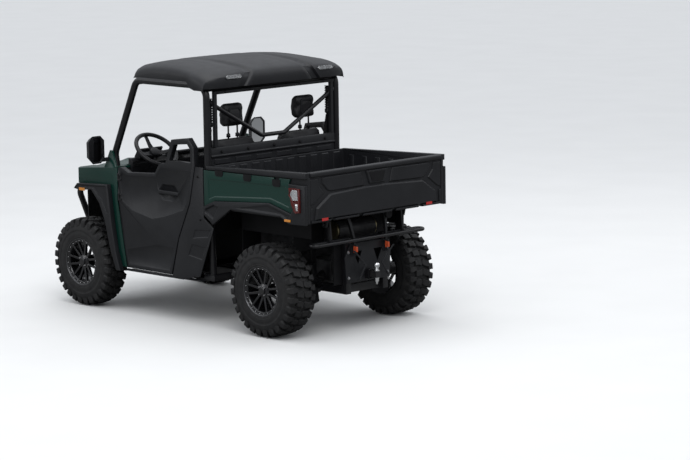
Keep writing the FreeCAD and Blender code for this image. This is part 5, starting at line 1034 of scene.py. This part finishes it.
# Place along x, height in the middle, height of the rim
ROOF_LINE = [(0.466, 1.806, 1.85), (0.468, 1.84, 1.87), (0.460, 1.875, 1.885), (0.440, 1.897, 1.897),
             (0.40, 1.915, 1.915), (0.33, 1.928, 1.928), (0.24, 1.938, 1.938), (0.12, 1.943, 1.943),
             (0.0, 1.941, 1.941), (-0.12, 1.935, 1.935), (-0.22, 1.928, 1.928), (-0.30, 1.920, 1.920),
             (-0.37, 1.909, 1.909), (-0.42, 1.897, 1.897), (-0.452, 1.885, 1.885), (-0.472, 1.871, 1.876),
             (-0.483, 1.852, 1.870), (-0.488, 1.830, 1.867), (-0.489, 1.808, 1.867), (-0.489, 1.786, 1.867),
             (-0.487, 1.770, 1.867)]
# Distance from the middle, drop of the roof there
HALF_COLUMNS = [(0.0, 0), (0.06, 0), (0.12, 0.0005), (0.18, 0.001), (0.225, 0.0015), (0.25, 0.002), (0.262, 0.0025),
                (0.272, 0.003), (0.295, 0.0035), (0.318, 0.004), (0.328, 0.0045), (0.345, 0.005), (0.40, 0.007),
                (0.46, 0.010), (0.52, 0.014), (0.565, 0.019), (0.60, 0.026), (0.63, 0.037), (0.65, 0.050),
                (0.662, 0.068), (0.668, 0.092), (0.668, 0.14), (0.665, 0.20)]
columns = [(-y, drop) for y, drop in HALF_COLUMNS[:0:-1]] + HALF_COLUMNS
shell = bmesh.new()
grid = []
for along, height, rim in ROOF_LINE:
    row = []
    rear = ease((-0.18 - along) / 0.18)
    for y, drop in columns:
        size = abs(y)
        groove = ease((size - 0.255) / 0.016) * (1 - ease((size - 0.326) / 0.018))
        fade = 0.25 + 0.75 * ease((0.15 - along) / 0.45)
        down = max(0, rim - height) / 0.09
        bulge = ease((size - 0.12) / 0.14) * (1 - ease((size - 0.36) / 0.2))
        width = size + 0.05 * rear * ease((size - 0.5) / 0.168) + 0.07 * down * bulge
        corner = ease((size - 0.52) / 0.148) ** 2 * 0.055
        x = along * (1 - corner / 0.48) + (0.018 * groove if along < -0.46 else 0)
        low = 1.806 - 0.050 * rear if size > 0.6 else 1.772
        z = max(low, min(height, rim - drop)) - 0.014 * groove * fade * (1 - min(1, down * 3))
        row.append(shell.verts.new((x, math.copysign(width, y), z)))
    grid.append(row)
skin(shell, grid, closed=False)
bmesh.ops.remove_doubles(shell, verts=shell.verts, dist=0.0004)
bmesh.ops.recalc_face_normals(shell, faces=shell.faces)
if sum(face.normal.z for face in shell.faces) < 0:
    bmesh.ops.reverse_faces(shell, faces=shell.faces)
bmesh.ops.solidify(shell, geom=shell.faces[:], thickness=0.007)
roof_mesh = finish_work(shell, "roof_shell")
smooth_faces(roof_mesh)
roof_mesh.set_sharp_from_angle(angle=math.radians(40))
add_piece("roof_shell", roof_mesh, moulded_black, body_of_solid["roof"], ["roof"])
print("roof faces", len(roof_mesh.polygons))

# %% [markdown]
# ## Tailgate
# The tailgate is a tray with fields in relief: a rolled rail along the top, end fields behind
# chevron edges, an upper field round the handle, and a lower band that stands out furthest. The
# lower band and the handle are left bare.

# %% Tailgate relief
GATE_FACE = 1.4925
gate_body = body_of_solid["tailgate"]
gate = bmesh.new()


def raised_field(work, outline, base, rise, chamfer):
    """A plate on the tailgate from the outline as (y, z), with sloping sides."""
    face = work.faces.new([work.verts.new((-base, y, z)) for y, z in outline])
    face.normal_update()
    if face.normal.x > 0:
        face.normal_flip()
    edge = bmesh.ops.extrude_face_region(work, geom=[face])
    top = [item for item in edge["geom"] if isinstance(item, bmesh.types.BMFace)][0]
    bmesh.ops.translate(work, verts=top.verts[:], vec=(-0.0006, 0, 0))
    top.normal_update()
    bmesh.ops.inset_region(work, faces=[top], thickness=chamfer, depth=rise, use_even_offset=True)


def both_ways(points):
    return points + [(-y, z) for y, z in reversed(points)]


pulled_across(gate, [(-1.4555, 0.886), (-1.492, 0.884), (-1.4935, 1.196), (-1.4985, 1.204), (-1.5065, 1.208),
                     (-1.5092, 1.216), (-1.5092, 1.228), (-1.5055, 1.236), (-1.496, 1.2398), (-1.470, 1.2398),
                     (-1.461, 1.236), (-1.4555, 1.228)], -0.6728, 0.6728)
low_band = both_ways([(0.628, 0.889), (0.612, 0.982), (0.474, 1.074), (0.10, 1.090)])
raised_field(gate, low_band, GATE_FACE, 0.0155, 0.0125)
# Outline of one side's field as (y, z), how far it stands out, width of its slope
FIELDS = [
    ([(0.130, 1.092), (0.462, 1.086), (0.500, 1.096), (0.552, 1.150), (0.552, 1.196), (0.160, 1.200)], 0.0085, 0.008),
    ([(0.671, 1.192), (0.590, 1.192), (0.583, 1.140), (0.532, 1.084), (0.640, 1.008), (0.671, 1.004)], 0.007, 0.006),
    ([(0.671, 0.985), (0.646, 0.985), (0.652, 0.890), (0.671, 0.890)], 0.009, 0.004),
]
for outline, rise, chamfer in FIELDS:
    for hand in (1, -1):
        raised_field(gate, [(hand * y, z) for y, z in outline], GATE_FACE, rise, chamfer)
raised_field(gate, both_ways([(0.078, 1.100), (0.116, 1.202)]), GATE_FACE, 0.0115, 0.006)
foot_view = [(-1.462, 0.8725), (-1.498, 0.8725), (-1.506, 0.879), (-1.506, 0.889), (-1.462, 0.889)]
for low, high in ((-0.665, -0.47), (-0.43, -0.19), (-0.15, 0.15), (0.19, 0.43), (0.47, 0.665)):
    pulled_across(gate, foot_view, low, high)
solid_piece("tailgate_dressed", gate, moulded_black, gate_body, 0.0022, 2, 25,
            stands_for=["tailgate"])
paddle = bmesh.new()
raised_field(paddle, both_ways([(0.058, 1.112), (0.088, 1.190)]), 1.503, 0.003, 0.004)
solid_piece("gate_paddle", paddle, deep_black, gate_body, 0.0012, 2, 25)
print("tailgate fields 9")

# %% [markdown]
# ## Bolts
# Small screw heads are what makes panels look fitted. One helper sets a row of domed heads with a
# washer along any face; every row is one mesh.

# %% Bolt heads
def bolt_row(name, spots, way, radius, finish, body, sides=6):
    """Heads on washers at the spots, standing out along way."""
    work = bmesh.new()
    way = Vector(way).normalized()
    side = way.orthogonal().normalized()
    over = way.cross(side)
    for spot in spots:
        for profile, corners in ((((0, 1.5), (0.22, 1.5), (0.3, 1.35), (0.3, 0.9)), 16),
                                 (((0.3, 1.0), (0.9, 1.0), (1.15, 0.8), (1.2, 0.45)), sides)):
            round_way = [side * math.cos(math.tau * j / corners) + over * math.sin(math.tau * j / corners)
                         for j in range(corners)]
            rings = [[work.verts.new(Vector(spot) + way * (h * radius) + out * (r * radius)) for out in round_way]
                     for h, r in profile]
            skin(work, rings, last=True)
    return add_piece(name, finish_work(work, name), finish, body)


bolt_row("panel_bolts", [(-0.414, -0.53 + 0.265 * k, 1.296) for k in range(5)], (-1, 0, 0), 0.009, deep_black,
         panel_body, 16)
bolt_row("window_bolts", [(-0.438, -0.5 + 0.25 * k, 1.737) for k in range(5)], (-1, 0, 0), 0.006, tube_black,
         panel_body)
for side, hand in SIDES:
    door = "door_" + side
    side_spots = [(-0.34, hand * 0.710, 1.12), (-0.36, hand * 0.710, 0.80), (-0.40, hand * 0.710, 0.40),
                  (-0.28, hand * 0.710, 0.365)]
    hinge_spots = [(0.548, hand * 0.7105, z) for z in (0.872, 0.908, 1.022, 1.058)]
    bolt_row("hinge_bolts_" + side, hinge_spots, (0, hand, 0), 0.0055, tube_black, body_of_solid[door])
    bolt_row("side_bolts_" + side, side_spots, (0, hand, 0), 0.006, deep_black, body_of_solid["side_panels"],
             16)
    bolt_row("bracket_bolts_" + side, [(-1.3965, hand * 0.2, z) for z in (0.41, 0.60)], (-1, 0, 0), 0.008, zinc,
             body_of_solid["rear_plate"])
print("bolt rows ready")

# %% [markdown]
# ## Inside the bed
# The bed's front wall carries the same upright ribs as its sides, and the floor has shallow
# lengthwise ribs. Below the side rails, where poles for a cover can be set, dark plates paint the pocket shade.

# %% Bed ribs and painted pocket shade
bed_body = body_of_solid["bed_tub"]
ribs = bmesh.new()
for k in range(11):
    middle = -0.6 + 0.12 * k
    block_of(ribs, (-0.4712, middle - 0.036, 0.93), (-0.4635, middle + 0.036, 1.192), (0.006, 0.006))
for k in range(9):
    middle = -0.56 + 0.14 * k
    rings = []
    for z, inset in ((0.9195, 0), (0.9245, 0.006)):
        front, rear, half = -0.50 - inset, -1.43 + inset, 0.024 - inset
        rings.append([ribs.verts.new((x, middle + a, z))
                      for x, a in ((front, -half), (rear, -half), (rear, half), (front, half))])
    skin(ribs, rings, first=True, last=True)
solid_piece("bed_ribs", ribs, moulded_black, bed_body, 0.0018, 2, 25)
POCKETS = (-0.579, -0.884, -1.192)
POCKET_SLOPE = 0.011 / 0.3
POCKET_OUTLINE = [(-0.032, -0.026), (0.032, -0.026), (0.043, -0.012), (0.043, 0.026), (-0.043, 0.026),
                  (-0.043, -0.012)]
for side, hand in SIDES:
    for number, x in enumerate(POCKETS, 1):
        def on_bed_side(u, v, w):
            return Vector((x + u, hand * (0.7095 + w), 1.168 + POCKET_SLOPE * (x - POCKETS[0]) + v))

        # Painted shade: a flat deep black plate on the side face stands for the shaded hollow of each pocket
        lens_plate("pocket_shade_%d_%s" % (number, side), POCKET_OUTLINE, on_bed_side, 0.0045, deep_black,
                   bed_body, 0.0015)
print("bed ribs 20, pockets 6")

# %% [markdown]
# ## Under the tailgate
# Between the tailgate and the hitch the real vehicle is crowded and dark: two stays, tow hooks with
# painted tips, a heat shield round the muffler, a lighting socket and guards on the lower arms.
# Flat deep black sheets under the body and inside the rear wheel arches paint the deep shade there.
# Without them daylight shows where the photograph is black.

# %% Stays, hooks, shield, shade sheets and guards
plate_body = body_of_solid["rear_plate"]
stays = bmesh.new()
for hand in (1, -1):
    sweep(stays, [(-1.418, hand * 0.163, 0.655), (-1.418, hand * 0.165, 0.70), (-1.395, hand * 0.18, 0.80),
                  (-1.372, hand * 0.19, 0.868)], [0.013, 0.013, 0.017, 0.021], 4)
blocks_both_sides(stays, (-1.40, 0.16, 0.862), (-1.33, 0.22, 0.8705))
solid_piece("gate_stays", stays, tube_black, plate_body, 0.002, 2, 25)
tips = bmesh.new()
blocks_both_sides(tips, (-1.4515, 0.1535, 0.598), (-1.418, 0.1725, 0.648), (0.002, 0.006))
solid_piece("hook_tips", tips, hook_red, plate_body, 0.003, 2, 25)
MUFFLER_X, MUFFLER_Z = -1.220, 0.740
shield = bmesh.new()
arc = [math.radians(a) for a in range(-100, 75, 12)]
for near, far in zip(arc, arc[1:]):
    corners = [(MUFFLER_X - r * math.cos(a), MUFFLER_Z + r * math.sin(a))
               for r, a in ((0.0765, near), (0.0765, far), (0.079, far), (0.079, near))]
    pulled_across(shield, corners, -0.185, 0.185)
bmesh.ops.remove_doubles(shield, verts=shield.verts, dist=0.0001)
add_piece("heat_shield", finish_work(shield, "heat_shield"), dark_steel, body_of_solid["muffler"])
socket = bmesh.new()
sweep(socket, [(x, -0.186, 0.845) for x in (-1.36, -1.418, -1.421, -1.421, -1.434, -1.437)],
      [0.024, 0.024, 0.03, 0.033, 0.033, 0.03], 28)
block_of(socket, (-1.42, -0.226, 0.82), (-1.412, -0.146, 0.884))
solid_piece("light_socket", socket, deep_black, body_of_solid["bed_tub"], 0.0012, 1, 40)
chevrons = bmesh.new()
for hand in (1, -1):
    for (y0, z0), (y1, z1) in (((0.205, 0.62), (0.085, 0.50)), ((0.085, 0.50), (0.150, 0.40))):
        bar_between(chevrons, (-1.4495, hand * y0, z0), (-1.4495, hand * y1, z1), (0.007, 0.018), (0.007, 0.018))
solid_piece("plate_ribs", chevrons, moulded_black, plate_body, 0.002, 2, 25)
# Painted shade: flat deep black sheets across the rear, inside the rear wheel arches, under the sides and behind the
# cab stand for the dark space under the body; the guards on the lower arms follow
shade_sheets = bmesh.new()
block_of(shade_sheets, (-1.335, -0.29, 0.36), (-1.325, 0.29, 0.69))
block_of(shade_sheets, (-1.108, -0.47, 0.60), (-1.100, 0.47, 0.905))
blocks_both_sides(shade_sheets, (-0.57, 0.30, 0.45), (-0.56, 0.48, 0.90))
blocks_both_sides(shade_sheets, (-1.30, 0.47, 0.72), (-0.56, 0.478, 0.905))
blocks_both_sides(shade_sheets, (-0.33, 0.596, 0.352), (0.56, 0.655, 0.384))
blocks_both_sides(shade_sheets, (-0.402, 0.60, 0.80), (-0.394, 0.700, 1.185))
guard = [(0.27, 0.225), (0.40, 0.19), (0.455, 0.215), (0.465, 0.285), (0.40, 0.325), (0.285, 0.33)]
for hand in (1, -1):
    skin(shade_sheets, [[shade_sheets.verts.new((x, hand * y, z)) for y, z in guard] for x in (-1.158, -1.150)], first=True,
         last=True)
solid_piece("shade_sheets_and_guards", shade_sheets, deep_black, body_of_solid["frame"], 0.0015, 1, 25)
print("rear pieces ready")

# %% [markdown]
# ## Steering wheel and instruments
# The wheel is a torus with a soft oval grip, thumb rests, three flat spokes and a padded hub. It is
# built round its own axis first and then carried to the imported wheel's place. The instrument hood
# is a wedge with a tinted face.

# %% Steering wheel
STEERING_HUB = (0.5, 0.385, 1.225)
GRIP_RADIUS = 0.1665
tilt = math.radians(50)
wheel_body = body_of_solid["steering_wheel"]
axis = Vector((-math.cos(tilt), 0, math.sin(tilt)))
across = Vector((0, 1, 0))
upward = axis.cross(across)
hub_place = Matrix.Translation(STEERING_HUB) @ Matrix((across, upward, axis)).transposed().to_4x4()
grip = bmesh.new()
ring_points, ring_sides = 96, 14
rings = []
for k in range(ring_points):
    angle = math.tau * k / ring_points
    thick = 0.0165 + 0.0012 * max(0, math.cos(2 * angle)) ** 6
    ring = []
    for j in range(ring_sides):
        around = math.tau * j / ring_sides
        reach_out = GRIP_RADIUS + thick * math.cos(around)
        ring.append(grip.verts.new((reach_out * math.cos(angle), reach_out * math.sin(angle),
                                    thick * 0.92 * math.sin(around))))
    rings.append(ring)
skin(grip, rings + rings[:1])
grip_mesh = finish_work(grip, "grip")
grip_mesh.transform(hub_place)
smooth_faces(grip_mesh)
add_piece("wheel_grip", grip_mesh, seat_vinyl, wheel_body, ["steering_wheel"])
spider = bmesh.new()
for angle in (0.12, math.pi - 0.12, -math.pi / 2):
    out = Vector((math.cos(angle), math.sin(angle), 0))
    side_way = Vector((-out.y, out.x, 0))
    sections = []
    # Distance from the hub, half width, height along the column
    for r, half, drop in ((0.03, 0.026, -0.034), (0.09, 0.017, -0.024), (0.14, 0.015, -0.009),
                          (0.168, 0.018, -0.002)):
        sections.append([spider.verts.new(out * r + side_way * (a * half) + Vector((0, 0, drop + b * 0.004)))
                         for a, b in ((-1, -1), (1, -1), (1, 1), (-1, 1))])
    skin(spider, sections, first=True, last=True)
sweep(spider, [(0, 0, z) for z in (-0.165, -0.045, -0.045, -0.018, -0.010, -0.007)],
      [0.014, 0.014, 0.040, 0.043, 0.038, 0.026], 28)
spider_mesh = finish_work(spider, "spider")
spider_mesh.transform(hub_place)
round_edges(add_piece("wheel_spider", spider_mesh, moulded_black, wheel_body), 0.0025, 2, 30)
print("steering wheel ready")

# %% Instrument hood, vents and grab bar
dash_body = body_of_solid["dash"]
hood_work = bmesh.new()
pulled_across(hood_work, [(0.560, 1.160), (0.566, 1.205), (0.552, 1.232), (0.562, 1.240), (0.590, 1.232),
                          (0.628, 1.176), (0.628, 1.160)], 0.27, 0.50)
pulled_across(hood_work, [(0.572, 1.160), (0.566, 1.182), (0.580, 1.190), (0.62, 1.178), (0.62, 1.160)], -0.50, 0.20)
solid_piece("instrument_hood", hood_work, moulded_black, dash_body, 0.006, 3, 25)


def on_dash(u, v, w):
    return Vector((0.5655 - w + v * 0.1, 0.385 + u, 1.205 + v))


lens_plate("instrument_face", eight_corners(0.15, 0.05, 0.012), on_dash, 0.003, mirror_glass, dash_body,
           0.001)
vents = bmesh.new()
for y in (-0.08, 0.08, -0.44, 0.53):
    for k in range(4):
        block_of(vents, (0.5655, y - 0.035, 1.105 + 0.012 * k), (0.575, y + 0.035, 1.111 + 0.012 * k))
sweep(vents, [(0.60, -0.22, 1.19), (0.575, -0.22, 1.215), (0.565, -0.23, 1.222), (0.565, -0.45, 1.222),
              (0.575, -0.46, 1.215), (0.60, -0.46, 1.19)], 0.011, 12)
solid_piece("vents_and_grab_bar", vents, deep_black, dash_body, 0.0012, 1, 30)
print("instruments ready")

# %% [markdown]
# ## Finishes of the solids that stay
# Tubes and turned parts are round already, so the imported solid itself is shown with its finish.

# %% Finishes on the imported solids
KEPT = {
    "tube_black": (tube_black, ["cage_sides", "cage_cross", "front_bar", "rear_loop", "suspension_arms"]),
    "muffler": (tinted_steel, ["muffler"]),
    "dark_steel": (dark_steel, ["half_shafts", "rear_knuckles", "knuckle_left", "knuckle_right"]),
    "moulded": (moulded_black, ["mirrors"]),
    "clear": (clear_lens, ["front_lamps", "roof_lamps"]),
    "red": (dark_red, ["tail_lamps"]),
}
for finish, members in KEPT.values():
    for solid in members:
        mesh = solids[solid].data
        mesh.materials.clear()
        mesh.materials.append(finish)
print("solids with a finish", sum(len(members) for finish, members in KEPT.values()))
